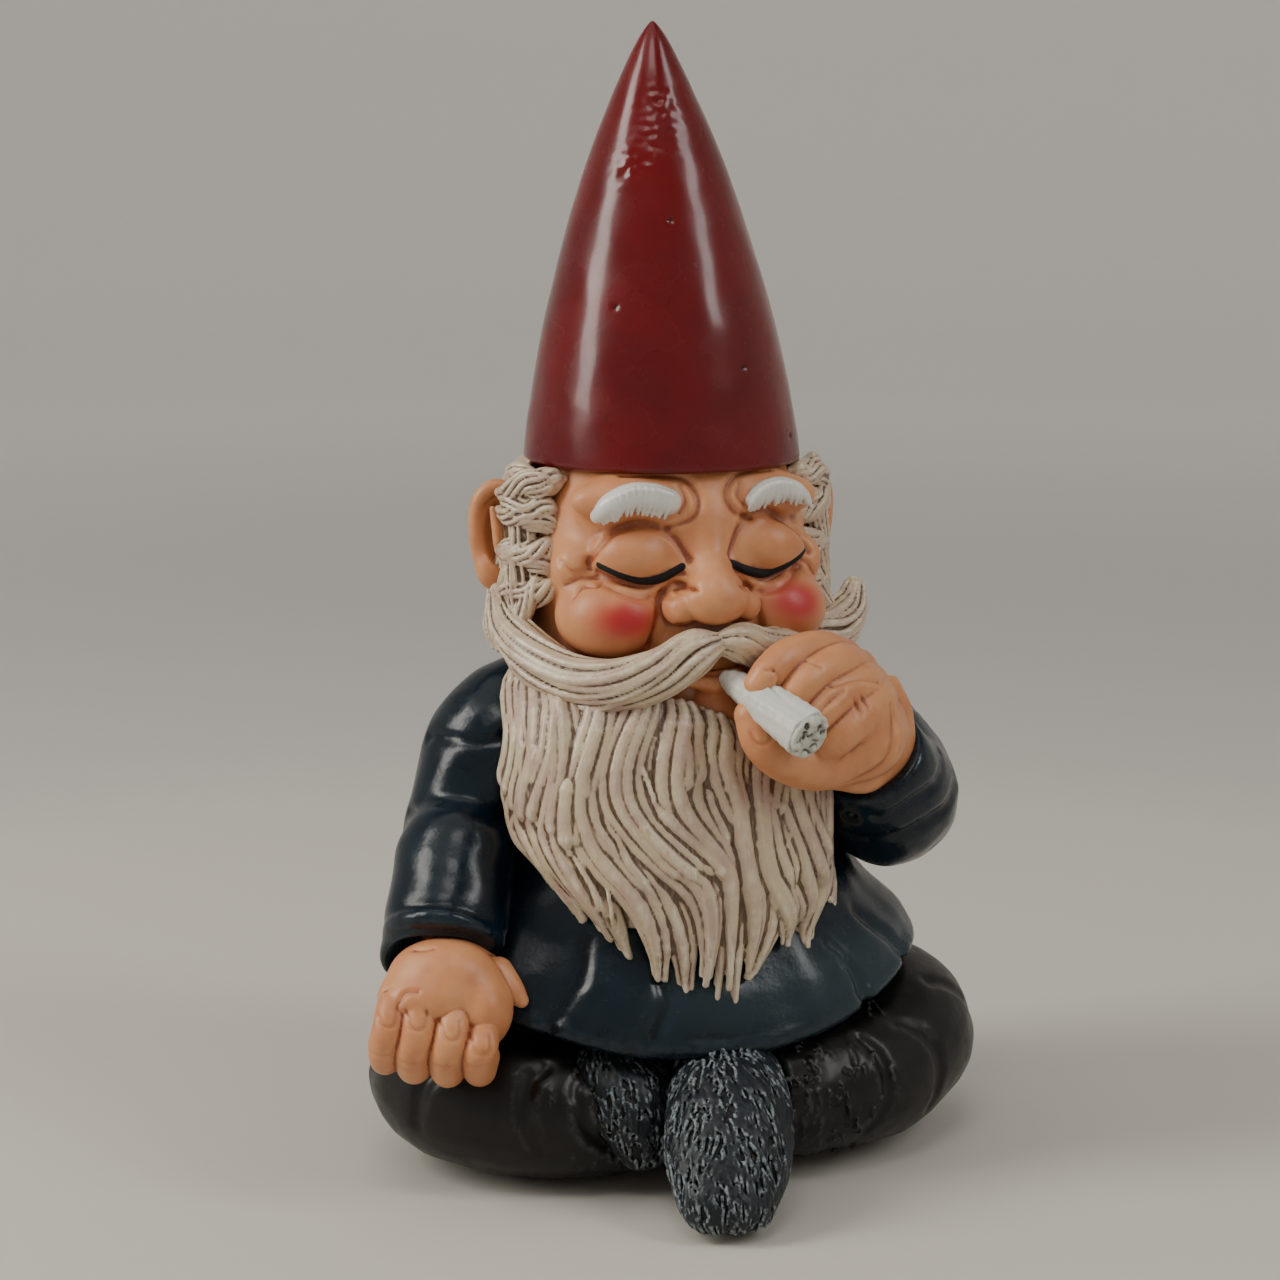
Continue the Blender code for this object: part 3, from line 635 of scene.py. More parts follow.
def make_head():
    low, high = box("head")
    brim = 65.5  # the hat hides what is above
    f = Field(low - 3, (high[0] + 3, high[1] + 3, low[2] + brim), 0.42, foot("head"))
    # skull, jaw, neck and muzzle
    f.blob((0, 39.5, 42.5), (31.5, 30.5, 37), 0)
    f.blob((0, 38.5, 21.5), (28.5, 28, 19), 6)
    f.chain(((0, 43.5, -2.5, 14.5), (0, 41.5, 15.5, 16)), 5)
    f.blob((0, 13.5, 26.5), (10, 5.5, 7), 4)
    for side in (RIGHT, LEFT):  # cheek, brow ridge and temple
        f.blob((18.0 * side, 20.3, 32.1), (12.2, 12.6, 9.6), 1.6)
        f.blob((15.0 * side, 18.5, 57), (12.5, 6.0, 5.2), 4.0)
        f.blob((25.5 * side, 23, 42), (5.0, 5.0, 5.5), 3.0)
    f.blob((0.8, 14.9, 54), (6.5, 4.2, 5.5), 4.0)
    # closed lids: domes that bulge from the brow
    f.blob((-13.9, 18.1, 45.5), (9.5, 8.9, 6.9), 1.2)
    f.blob((14.8, 18.3, 46.5), (10.0, 8.9, 7.1), 1.2)
    # nose, with its wings and nostrils
    f.chain(((0.8, 13, 51.5, 3.8), (0.3, 9.9, 45, 3.9), (0.3, 6.5, 39.5, 5.2)), 3.0)
    f.blob((0.2, 4.9, 36.9), (7.2, 5.6, 5.4), 2.0)
    for side in (RIGHT, LEFT):
        f.blob((6.9 * side + 0.3, 8.1, 35.1), (3.9, 5.0, 3.9), 0.9)
    for side in (RIGHT, LEFT):
        f.chain(((4.2 * side, 3.7, 31.4, 0.9), (6.6 * side, 6.3, 31.5, 1.4)), 0.8, True)
    # the upper edges of the lids, then the hollows under the lashes
    arcs = (((-23.8, 43.9, .5), (-22.0, 48.1, .8), (-18.0, 51.4, 1.0), (-12.9, 52.5, 1.0),
             (-7.6, 50.1, .9), (-4.4, 45.1, .6)),
            ((4.6, 45.5, .5), (8.2, 51.5, .9), (13.6, 54.3, 1.0), (19.6, 51.3, 1.0),
             (24.0, 47.5, .8), (26.4, 44.1, .5)))
    for arc in arcs:
        f.line(arc, -0.3, 1.5, True)
    for lash in LASHES:
        f.line([(x, z - 1.5, 0.45) for x, z in lash], 0.1, 0.9, True)
        f.line([(x * 0.99, z - 3.6, 0.4) for x, z in lash], 0.1, 1.6, True)
    # folds: round the inner ends of the brows, crow's feet, cheeks and nose
    creases = (
        ((-17, 62.4, .4), (-9.5, 62.5, .7), (-4.0, 61.5, .8), (-1.8, 57.9, .9),
         (-3.2, 53.9, .8), (-8.4, 51.4, .4)),
        ((-5.0, 60.5, .4), (-4.6, 57.2, .5), (-6.0, 54.7, .3)),
        ((17, 62.5, .4), (9.0, 62.3, .7), (5.0, 58.9, .8), (6.2, 54.9, .8),
         (10.6, 52.7, .4)),
        ((8.2, 60.5, .4), (7.6, 57.9, .5), (9.0, 55.7, .3)),
        ((-29.6, 44.3, .3), (-26.8, 42.1, .5), (-23.6, 42.5, .35)),
        ((-28.6, 39.1, .3), (-25.8, 40.8, .55), (-22.4, 40.9, .35)),
        ((-27.8, 36.9, .3), (-25.6, 39, .45), (-22.8, 39.4, .35)),
        ((27.6, 39.3, .3), (26.2, 41.3, .45), (24.4, 42.7, .3)),
        ((-8.6, 38.9, .4), (-10.4, 36.5, .7), (-10.9, 32.5, .9), (-12.6, 26.9, .8)),
        ((8.8, 38.9, .4), (10.8, 36.5, .7), (11.3, 32.5, .9), (12.8, 26.9, .8)),
        ((-4.8, 39.5, .3), (-7.6, 39.9, .5), (-9.8, 37.9, .4)),
        ((5.2, 39.5, .3), (8.0, 39.9, .5), (10.2, 37.9, .4)),
    )
    for points in creases:
        f.line(points, 0.0, 0.9, True)
    # lips and chin
    f.blob((-1.5, 8.5, 22.5), (8.0, 2.6, 1.5), 1.0)
    f.chain(((-6, 7.1, 19.7, 1.5), (0, 5.5, 19.1, 2.1), (6, 6.9, 20.1, 1.5)), 1.0)
    f.chain(((-7, 6.9, 21.3, .5), (0, 4.3, 21.2, .7), (7, 6.3, 21.5, .5)), 0.6, True)
    f.blob((3.0, 11.5, 13), (8.5, 6.5, 6.5), 3.0)
    ink = [f.line([(x, z, r) for (x, z), r in zip(lash, (.55, .75, .85, .80, .55))], -0.25, 0.1)
           for lash in LASHES]

    def ink_mask(p):
        """Above 0.5 on the lashes and just around them."""
        near = np.full(len(p), 9.0)
        for line in ink:
            for a, b in zip(np.array(line), np.array(line)[1:]):
                along = b[:3] - a[:3]
                t = np.clip((p - a[:3]) @ along / (along @ along), 0, 1)
                gap = np.linalg.norm(p - a[:3] - t[:, None] * along, axis=1)
                near = np.minimum(near, gap - a[3] - (b[3] - a[3]) * t)
        return np.clip(0.5 - (near - 0.30) / 2.4, 0, 1)

    field_object(
        "head_skin", f, SKIN, "skin", "head", relief=10, gain=1.1,
        blush=patches((-18.2, 9, 32.7, 7.4, 8, 4.8), (20.0, 10.5, 34.7, 7.4, 8, 5.0)),
        shadow=patches((0, 6.5, 29, 6.5, 5, 2.6)),
        # painted shade: brown darkening along the lower edge of the right cheek, at the nostrils and
        # under the lower lip
        crease=patches((-27, 24.5, 25.9, 5, 8, 3.6), (-21, 17.5, 22.7, 6, 6, 2.4),
                       (-12, 11.5, 24.7, 5, 6, 2.6), (4, 8.5, 16, 9, 7, 5),
                       (-7, 6.5, 31.5, 2, 3, 2), (7, 6.5, 31.5, 2, 3, 2)),
        ink=ink_mask)
    return f


# ---------------------------------------------------------------- ears and brows

def make_ear(side):
    node = "right_ear" if side == RIGHT else "left_ear"
    low, high = box(node)
    f = Field(low - (2, 5, 2), high + (2, 3, 2), 0.4, (low + high) / 2)

    def ridge(points, k, steps=5, cut=False):
        f.chain(curve(np.array(points) * (side, 1, 1, 1), steps), k, cut)

    f.blob((0.4 * side, 0.8, 0.2), (5.6, 3.4, 11.6), 0)
    f.blob((side, -1.2, -7.4), (4.4, 3.0, 4.6), 2.0)
    ridge(((-3.5, -3.0, 3.5, 1.2), (-2.5, -3.2, 9.2, 1.5), (1.2, -2.0, 11.2, 1.7),
           (4.6, -0.6, 8.0, 1.7), (5.3, 0.0, 2.0, 1.6), (4.6, 0.0, -3.5, 1.5),
           (3.2, -0.8, -8.0, 1.6)), 0.8)
    f.blob((0.2 * side, -3.6, 1.4), (4.0, 4.4, 8.0), 1.0, cut=True)
    ridge(((3.2, -2.4, 7.0, .4), (3.6, -2.4, 2.0, .6), (3.0, -2.4, -3.0, .4)), 0.8, 4, True)
    ridge(((2.2, -3.0, 6.4, .7), (1.4, -3.8, 2.0, 1.2), (0.8, -3.8, -2.6, 1.2),
           (-0.6, -3.6, -5.4, .8)), 1.0)
    ridge(((-2.8, -3.0, -1.5, 1.2), (-2.0, -3.6, -4.0, 1.5), (-2.6, -2.6, -7.0, 1.2)), 1.2, 4)
    field_object(node + "_skin", f, HAND, "skin", node, relief=10, gain=1.1)


# each brow from its outer end, as (x, z, radius) from the head's foot
BROWS = {RIGHT: ((-22.8, 54.3, 1.6), (-20.6, 56.7, 2.5), (-16.3, 58.3, 3.0), (-11.6, 58.1, 3.1),
                 (-8.2, 57.1, 2.8)),
         LEFT: ((23.2, 56.5, 1.5), (20.6, 58.1, 2.3), (16.8, 58.9, 2.6), (13.2, 58.1, 2.4),
                (10.8, 56.7, 1.7))}


def make_brow(side, head):
    node = "right_eyebrow" if side == RIGHT else "left_eyebrow"
    low, high = box(node)
    f = Field(low - 3, high + 3, 0.33, head.origin)
    rng = np.random.default_rng(11 + side)
    laid = []
    for x, z, r in curve(BROWS[side], 5):
        y = head.front(x, z)
        laid.append((x, (y if y is not None else 19.5) - 0.3, z, r))
    laid = np.array(laid)
    f.chain(laid, 0)
    for t in np.linspace(0.0, 1.0, 15):
        x, y, z, r = at(laid, t)
        lean = (0.5 - t) * 3.0 + rng.normal(0, 0.3)
        drop = r * 0.95 + rng.uniform(0.1, 0.9)
        strand = []
        for s in np.linspace(0, 1, 6):
            xs = x + lean * s
            zs = z + r * 0.55 - (r * 0.55 + drop) * s
            ys = head.front(xs, zs)
            ys = min(y - r * 0.72 * math.cos((s - 0.3) * 1.6), (ys if ys is not None else y))
            strand.append((xs, ys - 0.3, zs, 0.85 * (1 - 0.6 * s)))
        f.chain(strand, 0.2)
    field_object(node + "_hair", f, WHITE, "brow_white", node, relief=6, gain=1.8)


# ---------------------------------------------------------------- beard and other hair

def drape(nodes, low, high, step=1.5, blur=3):
    """The front surface of CAD nodes as a smooth height map. Returns y at any (x, z)."""
    tree = tree_of(*nodes)
    xs = np.arange(low[0], high[0], step)
    zs = np.arange(low[2], high[2], step)
    ys = np.full((len(xs), len(zs)), np.nan)
    for i, x in enumerate(xs):
        for j, z in enumerate(zs):
            hit = tree.ray_cast(Vector((x, -90, z)), Vector((0, 1, 0)))[0]
            if hit:
                ys[i, j] = hit.y
    while np.isnan(ys).any():  # spread the known heights outwards
        wide = np.pad(ys, 1, constant_values=np.nan)
        near = np.stack([wide[a:a + len(xs), b:b + len(zs)] for a in range(3) for b in range(3)])
        known = (~np.isnan(near)).sum(0)
        ys = np.where(np.isnan(ys) & (known > 0), np.nansum(near, 0) / np.maximum(known, 1), ys)
    for _ in range(blur):
        wide = np.pad(ys, 1, mode="edge")
        ys = sum(wide[a:a + len(xs), b:b + len(zs)] for a in range(3) for b in range(3)) / 9

    return lambda x, z: blend(ys, (x - xs[0]) / step, (z - zs[0]) / step)


# flow lines of the beard, from the gnome's right to its left, as (x, z) from the beard's foot
FLOW = (
    ((-35.8, 70.8), (-40.0, 57.8), (-41.0, 47.8), (-40.0, 39.8), (-38.8, 33.8), (-36.4, 28.8)),
    ((-33.6, 69.8), (-37.4, 56.8), (-37.8, 46.8), (-36.2, 37.8), (-33.6, 28.8), (-29.8, 18.8)),
    ((-30.5, 65.8), (-32.8, 55.8), (-32.6, 44.8), (-29.4, 33.8), (-25.6, 23.8), (-22.4, 13.3)),
    ((-25.0, 64.8), (-27.2, 54.8), (-26.4, 44.8), (-22.6, 33.8), (-18.4, 23.8), (-15.4, 6.8)),
    ((-18.8, 64.8), (-20.6, 54.8), (-18.2, 43.8), (-11.6, 32.3), (-7.6, 21.8), (-6.6, 1.8)),
    ((-12.0, 64.8), (-12.6, 55.8), (-9.0, 45.8), (-3.8, 35.3), (-0.2, 22.8), (-1.4, -0.7)),
    ((-5.6, 63.8), (-3.6, 55.8), (1.6, 46.3), (3.4, 36.8), (2.2, 24.8), (1.6, -3)),
    ((1.2, 60.8), (4.4, 51.8), (6.6, 42.8), (5.2, 32.8), (6.8, 20.8), (5.6, 4.8)),
    ((7.6, 55.8), (11.6, 46.8), (12.4, 36.3), (11.4, 26.8), (13.6, 16.8), (16.0, 7.3)),
    ((14.0, 52.8), (19.6, 43.8), (21.6, 33.8), (20.0, 24.8), (20.4, 16.8), (23.4, 8.8)),
    ((20.0, 51.8), (27.6, 42.8), (31.0, 33.8), (31.6, 25.8), (31.0, 18.8), (31.6, 12.8)),
)


def make_beard():
    low, high = box("beard")
    nodes = ("beard", "coat", "right_sleeve", "left_sleeve", "head")
    height = drape(nodes, low - (8, 0, 8), high + (8, 0, 8))
    step = 0.45
    thick_from = low[2] + 20.756  # below this height, the body under the locks gets thinner
    f = Field(low - (5, 6, 5), high + (6, 3, 3), step)
    base = cad_field("beard", step, soften=3, grow=-2.0)
    _, _, z = base.axes()
    base.d += 2.2 * np.clip((thick_from - z) / 14, 0, 1)
    offset = np.round((base.low - f.low) / step).astype(int)
    a = np.maximum(offset, 0)
    b = np.minimum(offset + base.count, f.count)
    f.d[tuple(map(slice, a, b))] = base.d[tuple(map(slice, a - offset, b - offset))]
    guides = [curve(line, 6) + (MIDDLE, low[2]) for line in FLOW]
    rng = np.random.default_rng(5)
    t = np.linspace(0, 1, 26)
    last = len(FLOW) - 1

    def strand(g, start, end, radius, lift, sway):
        """One strand, whose g says between which guides it runs."""
        s = start + (end - start) * t
        g = np.clip(g + sway(s), 0, last)
        i = np.minimum(g.astype(int), last - 1)
        share = (g - i)[:, None]
        f0 = np.array([at(guides[n], min(u, 1.0)) for n, u in zip(i, s)])
        f1 = np.array([at(guides[n + 1], min(u, 1.0)) for n, u in zip(i, s)])
        p = f0 * (1 - share) + f1 * share
        beyond = np.maximum(s - 1, 0)
        x = p[:, 0] + 0.15 * beyond
        z = p[:, 1] - 16 * beyond
        open_end = 0.5 if start == 0 else 0.12
        taper = np.minimum(1, open_end + 4 * t) * np.clip((1 - t) * 5, 0.2, 1) ** 0.7
        r = radius * taper
        y = height(x, z) - lift(t) + 0.35 * radius
        f.chain(np.column_stack((x, y, z, r)), 0.1)

    def lock(g, start, end, wide, count, lift, phase):
        """A lock of count strands that wave together and close to a point."""
        size = wide / count * rng.uniform(0.95, 1.15)
        for j in range(count):
            share = (j + 0.5) / count - 0.5
            jitter = rng.normal(0, 0.02)

            def sway(s, share=share, jitter=jitter):
                local = (s - start) / (end - start)
                pinch = 1 - 0.72 * np.clip((local - 0.66) / 0.34, 0, 1) ** 1.3
                pinch = pinch * (1 if start == 0 else np.clip(0.25 + 4 * local, 0, 1))
                wave = 0.44 * np.sin(2 * math.pi * (s * 1.1 + phase))
                return wave + (share * pinch + jitter) * wide / 6.4

            strand(g, start, end - abs(share) * 0.07, size * (1 - 0.25 * abs(share)),
                   lambda u, share=share: lift(u) - 5.0 * share * share, sway)

    locks = 16
    for i in range(locks):  # the long locks
        g = last * (i + 0.5) / locks
        depth = -0.3 if i % 2 else rng.uniform(0.8, 1.4)
        lock(g, 0.0, rng.uniform(0.94, 1.04), rng.uniform(6.2, 7.6), int(rng.integers(3, 5)),
             lambda u, depth=depth: depth + 0.5 * np.sin(u * math.pi),
             0.045 * g + rng.uniform(-0.12, 0.12))
    for i in range(18):  # upper locks, whose tips stand proud of the ones below
        g = last * (i + rng.uniform(0.1, 0.9)) / 18
        start = rng.uniform(0.0, 0.45)
        end = min(start + rng.uniform(0.30, 0.55), 1.02)
        depth = rng.uniform(1.2, 2.2)
        lock(g, start, end, rng.uniform(4.8, 6.4), int(rng.integers(3, 5)),
             lambda u, depth=depth: depth + 0.7 * u ** 2,
             0.045 * g + rng.uniform(-0.14, 0.14))
    for i in range(26):  # loose strands
        g = rng.uniform(0.1, last - 0.1)
        start = rng.uniform(0.0, 0.7)
        phase = rng.uniform()
        strand(g, start, min(start + rng.uniform(0.2, 0.4), 1.03), rng.uniform(0.45, 0.75),
               lambda u: 2.0 * np.sin(np.clip(u, 0, 1) * math.pi) ** 0.6,
               lambda s, phase=phase: 0.14 * np.sin(2 * math.pi * (s * 1.6 + phase)))
    field_object("beard_locks", f, CREAM, "beard_cream", "beard", relief=9, gain=1.35)


MOUSTACHES = (  # node, room below and above its box, and its locks
    ("right_moustache", (5, 5, 6), (5, 6, 10), (
        (((0.8, 1.2, 14.7, 2.5, 2.0), (-5.5, 0.8, 13.1, 4.7, 3.4), (-12.5, 3.4, 8.7, 5.2, 3.9),
          (-21, 7.6, 5.9, 5.4, 4.1), (-28.6, 14.6, 6.5, 5.2, 4.2), (-34.5, 24.2, 10.5, 4.9, 4.0),
          (-37.6, 33, 15.7, 4.2, 3.4), (-38.0, 39.4, 22.1, 2.4, 2.2)),
         dict(count=18, radius=1.0, seed=21, twist=0.5, wave=0.6, out=(-0.2, -1, 0))),
        (((-16, 5.6, 6.1, 2.0, 1.6), (-22, 7.2, 2.7, 3.2, 2.0), (-29, 13.6, 2.9, 3.0, 2.0),
          (-35.4, 23.4, 6.3, 2.6, 2.0), (-38.4, 32, 10.5, 2.0, 1.8)),
         dict(count=11, radius=0.8, seed=22, twist=0.35, out=(-0.2, -1, -0.4))))),
    ("left_moustache", (4, 5, 6), (5, 6, 8), (
        (((-0.4, 1.2, 9.0, 2.6, 2.0), (4.5, 1.4, 9, 4.0, 2.8), (10.5, 4.4, 6.8, 4.3, 3.0),
          (19, 10.6, 5.8, 4.4, 3.2), (28, 19.2, 6, 4.8, 3.4), (36.5, 28, 6, 5.4, 3.6),
          (41.8, 32.4, 9.4, 4.9, 3.4), (43.6, 34, 14.8, 3.0, 2.2)),
         dict(count=16, radius=1.0, seed=23, twist=-0.5, wave=0.6, ends=(0.35, 0.5),
              out=(0.2, -1, 0))),
        (((33.0, 27, 1.9, 2.0, 1.8), (38.5, 31, 2, 3.4, 2.6), (42.6, 33.5, 5.6, 3.0, 2.4),
          (44.4, 34.6, 10.8, 1.4, 1.2)),
         dict(count=11, radius=0.8, seed=24, twist=-0.35, wave=0.4, out=(0.4, -1, 0))))),
)


def make_moustaches():
    for node, below, above, locks in MOUSTACHES:
        low, high = box(node)
        f = Field(low - below, high + above, 0.42, foot(node))
        for rows, strands in locks:
            bundle(f, rows, **strands)
        field_object(node + "_hair", f, CREAM_ACROSS, "beard_cream", node, relief=7, gain=1.5)


def make_sideburns():
    for side, node in ((RIGHT, "right_sideburn"), (LEFT, "left_sideburn")):
        low, high = box(node)
        f = Field(low - (6, 6, 4), high + (6, 7, 2), 0.38, foot("head"))
        bundle(f, ((32.2 * side, 34.1, 58.5, 2.6, 2.2), (33.4 * side, 33.7, 49.5, 3.2, 2.6),
                   (34.2 * side, 33.9, 37.5, 3.2, 2.6), (35.2 * side, 34.9, 25.5, 2.6, 2.2)),
               13, 0.62, 39 + 10 * side, twist=0.3, wave=0.4, out=(0.5 * side, -1, 0))
        for i, (z, lean) in enumerate((
                (61.1, -0.6), (58.5, 1.8), (54.9, -2.2), (50.7, -2.6), (46.3, 2.4), (41.9, -2.4),
                (37.5, 2.2))):
            bend = 1.6 if i % 2 else -1.6
            tuck = (0.94 if i == 0 else 1.0) * (0.985 if side == LEFT else 1.0)
            bundle(f, ((27.6 * side * tuck, 28.9, z + lean * 0.6, 1.2, 1.0),
                       (30.4 * side * tuck, 29.5, z + bend * 0.5, 2.8, 1.8),
                       (33.6 * side * tuck, 31.7, z - lean * 0.2 + bend, 3.0, 2.0),
                       (36.4 * side * tuck, 35.7, z - lean * 0.7, 2.7, 1.9),
                       (37.8 * side * tuck, 40.1, z - lean, 1.0, 1.0)),
                   11, 0.56, 40 + i + 10 * side, twist=0.5, wave=0.35, out=(0.7 * side, -1, 0))
        for i in range(5):
            y = 30.5 + 3.4 * i
            bundle(f, (((32.0 + 0.9 * i) * side, y, 39 + 1.2 * i, 1.2, 1.2),
                       ((34.0 + 0.8 * i) * side, y + 0.4, 33.5, 2.2, 1.7),
                       ((36.4 + 0.4 * i) * side, y + 0.2, 27.9, 2.3, 1.8),
                       ((37.4 + 0.1 * i) * side, y - 0.8, 22.5, 1.6, 1.4)),
                   9, 0.62, 60 + i + 10 * side, twist=0.35, wave=0.5, out=(side, -0.6, 0))
        field_object(node + "_hair", f, CREAM_ACROSS, "beard_cream", node, relief=7, gain=1.5)


def make_back_hair():
    low, high = box("back_hair")
    top = box("hat")[0][2] + 1.2
    f = cad_field("back_hair", 0.55, soften=3, grow=-1.6)
    cy = low[1] + 5.287  # the hair goes round an upright line here
    rng = np.random.default_rng(8)
    t = np.linspace(0, 1, 20)
    wide, deep = (high[0] - low[0]) / 2 - 0.6, high[1] - cy - 0.6

    def strand(angle, start, end, radius, lift, phase):
        """One strand, from share start to share end of the way down."""
        s = start + (end - start) * t
        z = top - (top - low[2] + 1.0) * s
        a = angle + 0.05 * np.sin(2 * math.pi * (s * 1.5 + phase)) + 0.06 * (s - 0.3)
        swell = np.sqrt(np.clip(s / 0.16, 0, 1))  # from under the hat's rim outwards
        shape = 0.83 + 0.155 * swell - 0.10 * s ** 3  # drawn in at the neck
        r = radius * np.minimum(1, 0.5 + 4 * t) * np.clip((1 - t) * 3.5, 0.12, 1) ** 0.7
        x = np.cos(a) * (wide * shape + lift * swell)
        y = cy + np.sin(a) * (deep * shape + lift * swell)
        f.chain(np.column_stack((x, y, z, r)), 0.1)

    for i in range(96):  # long strands, three to a lock
        angle = math.radians(-6 + 192 * (i + 0.5) / 96)
        if i % 3 == 0:
            phase = 0.03 * i + rng.uniform(-0.12, 0.12)
            end, lift = rng.uniform(0.9, 1), rng.uniform(0, 0.7)
        strand(angle, 0.0, end - 0.03 * (i % 3 != 1), rng.uniform(1.0, 1.3),
               lift - 0.35 * (i % 3 != 1), phase)
    for i in range(80):
        angle = math.radians(rng.uniform(0, 180))
        start = rng.uniform(0.0, 0.6)
        strand(angle, start, min(1.0, start + rng.uniform(0.3, 0.5)), rng.uniform(0.7, 1.1),
               rng.uniform(0.5, 1.1), rng.uniform(0, 1))
    field_object("back_hair_locks", f, CREAM, "beard_cream", "back_hair", relief=7, gain=1.25)


# ---------------------------------------------------------------- clothes

def make_coat():
    f = cad_field("coat", 0.8, soften=6, origin=foot("coat"))
    x, y, z = f.axes()
    hub = f.origin[1] + 50.5  # the folds fan out from an upright line here
    angle = np.arctan2(y - hub, x)
    low = np.clip((f.origin[2] + 47 - z) / 40, 0, 1)
    folds = np.sin(angle * 7 + 1.2 * np.sin(z / 11)) + 0.5 * np.sin(angle * 13 + z / 9 + 1)
    f.d += 0.55 * low * folds
    wide, front, back = 58.4, 46.8, 43.0  # half sizes of the hem's oval
    behind, above, radius = 48.5, 2.2, 2.1  # the oval's middle, its lowest point and its tube
    bend, rise = 52, 11.16  # the hem rises by this much, this far out from the middle
    hem = []
    for k in range(73):
        a = 2 * math.pi * k / 72
        x, y = math.cos(a) * wide, math.sin(a) * (front if math.sin(a) < 0 else back)
        z = rise * (x / bend) ** 2 if abs(x) < bend else 11.5
        hem.append((x, y + behind, z + above, radius))
    f.chain(hem, 1.5)
    tree = tree_of("coat")
    for points in (
        ((44, 14.5, 31, .4), (50, 16.5, 21, .9), (54, 18.5, 13, .7), (56, 20.5, 7, .3)),
        ((30, 4.5, 25, .3), (36, 5.5, 17, .8), (38, 4.5, 9, .6), (40, 6.5, 5, .3)),
        ((-30, 6.5, 29, .3), (-32, 4.5, 21, .9), (-36, 6.5, 13, .6), (-38, 8.5, 7, .3)),
        ((-14, 0.5, 21, .3), (-13, 0.5, 14, .7), (-16, 1.5, 7, .3)),
        ((-30, 82.5, 49, .3), (-36, 84.5, 35, .8), (-40, 84.5, 21, .8), (-42, 82.5, 11, .4)),
        ((28, 82.5, 53, .3), (34, 84.5, 37, .8), (36, 86.5, 23, .8), (40, 84.5, 11, .4)),
        ((0, 84.5, 59, .3), (2, 90.5, 39, .6), (-2, 92.5, 21, .7), (0, 92.5, 11, .3)),
    ):
        crease(f, tree, points, 3.2)

    def scuff(p):
        band = np.exp(-((p[:, 2] - 13) / 9) ** 2) * (p[:, 1] < 30.5)
        return band * np.clip((p[:, 0] + 30) / 40, 0.15, 1)

    field_object("coat_body", f, NAVY, "coat_navy", "coat", relief=12, gain=0.9, scuff=scuff)


def make_sleeves():
    for node, creases in (
        ("right_sleeve", (
            ((-34, 12.7, 45, .3), (-42, 12.7, 42, .9), (-52, 16.7, 40, 1.0), (-60, 30.7, 41, .3)),
            ((-38, 10.7, 37, .3), (-46, 9.7, 34, .8), (-55, 12.7, 32, .9), (-63, 26.7, 34, .3)),
            ((-42, 6.7, 28, .3), (-49, 3.7, 26, .8), (-58, 5.7, 26, .8), (-66, 20.7, 29, .3)),
            ((-44, 2.7, 19, .3), (-51, -0.3, 20, .6), (-60, 0.7, 22, .5), (-66, 12.7, 23, .3)),
            ((-28, 16.7, 64, .3), (-36, 16.7, 60, .7), (-45, 20.7, 57, .6), (-52, 32.7, 56, .3)),
            ((-52, 46.7, 45, .3), (-58, 44.7, 39, .8), (-63, 36.7, 34, .6), (-64, 26.7, 31, .3)))),
        ("left_sleeve", (
            ((34, 15.7, 10.4, .3), (44, 7.7, 12.4, .9), (56, 9.7, 16.4, 1.0), (66, 21.7, 22.4, .3)),
            ((36, 9.7, 18.4, .3), (46, 1.7, 20.4, .8), (56, 5.7, 24.4, .7), (60, 15.7, 29.4, .3)),
            ((42, 25.7, 0.4, .3), (56, 21.7, 3.4, .8), (66, 27.7, 10.4, .7), (69, 37.7, 18.4, .3)),
            ((28, 25.7, 39.4, .3), (38, 23.7, 35.4, .8), (50, 27.7, 34.4, .8), (60, 37.7, 33.4, .3)),
            ((44, 51.7, 8.4, .3), (56, 51.7, 14.4, .8), (65, 43.7, 22.4, .6), (66, 31.7, 30.4, .3)))),
    ):
        f = cad_field(node, 0.55, soften=7, origin=foot(node))
        tree = tree_of(node)
        for points in creases:
            crease(f, tree, points)
        if node == "right_sleeve":
            f.chain(((-50, 19.7, 31, 13.4), (-54, 12.2, 21, 13.2)), 2.5)
            axis = np.array((-0.27, -0.52, -0.81))
            u = np.cross(axis, (0.37, 0.93, 0))
            u /= np.linalg.norm(u)
            v = np.cross(axis, u)
            middle = np.array((-55.5, 9.7, 17))
            f.blob(middle + axis * 20.5, (20, 20, 20), 1.0, cut=True)
            ring = [(*(middle + u * 11.2 * math.cos(a) + v * 12.6 * math.sin(a)), 1.9)
                    for a in np.linspace(0, 2 * math.pi, 33)]
            f.chain(ring, 1.0)
        x, y, z = f.axes()
        f.d += 0.25 * np.sin(x / 3.1 + 1.7 * np.sin(z / 6)) * np.sin(z / 4.3 + y / 5)
        field_object(node + "_cloth", f, NAVY, "coat_navy", node, relief=12, gain=0.9,
                     scuff=lambda p: np.zeros(len(p)))


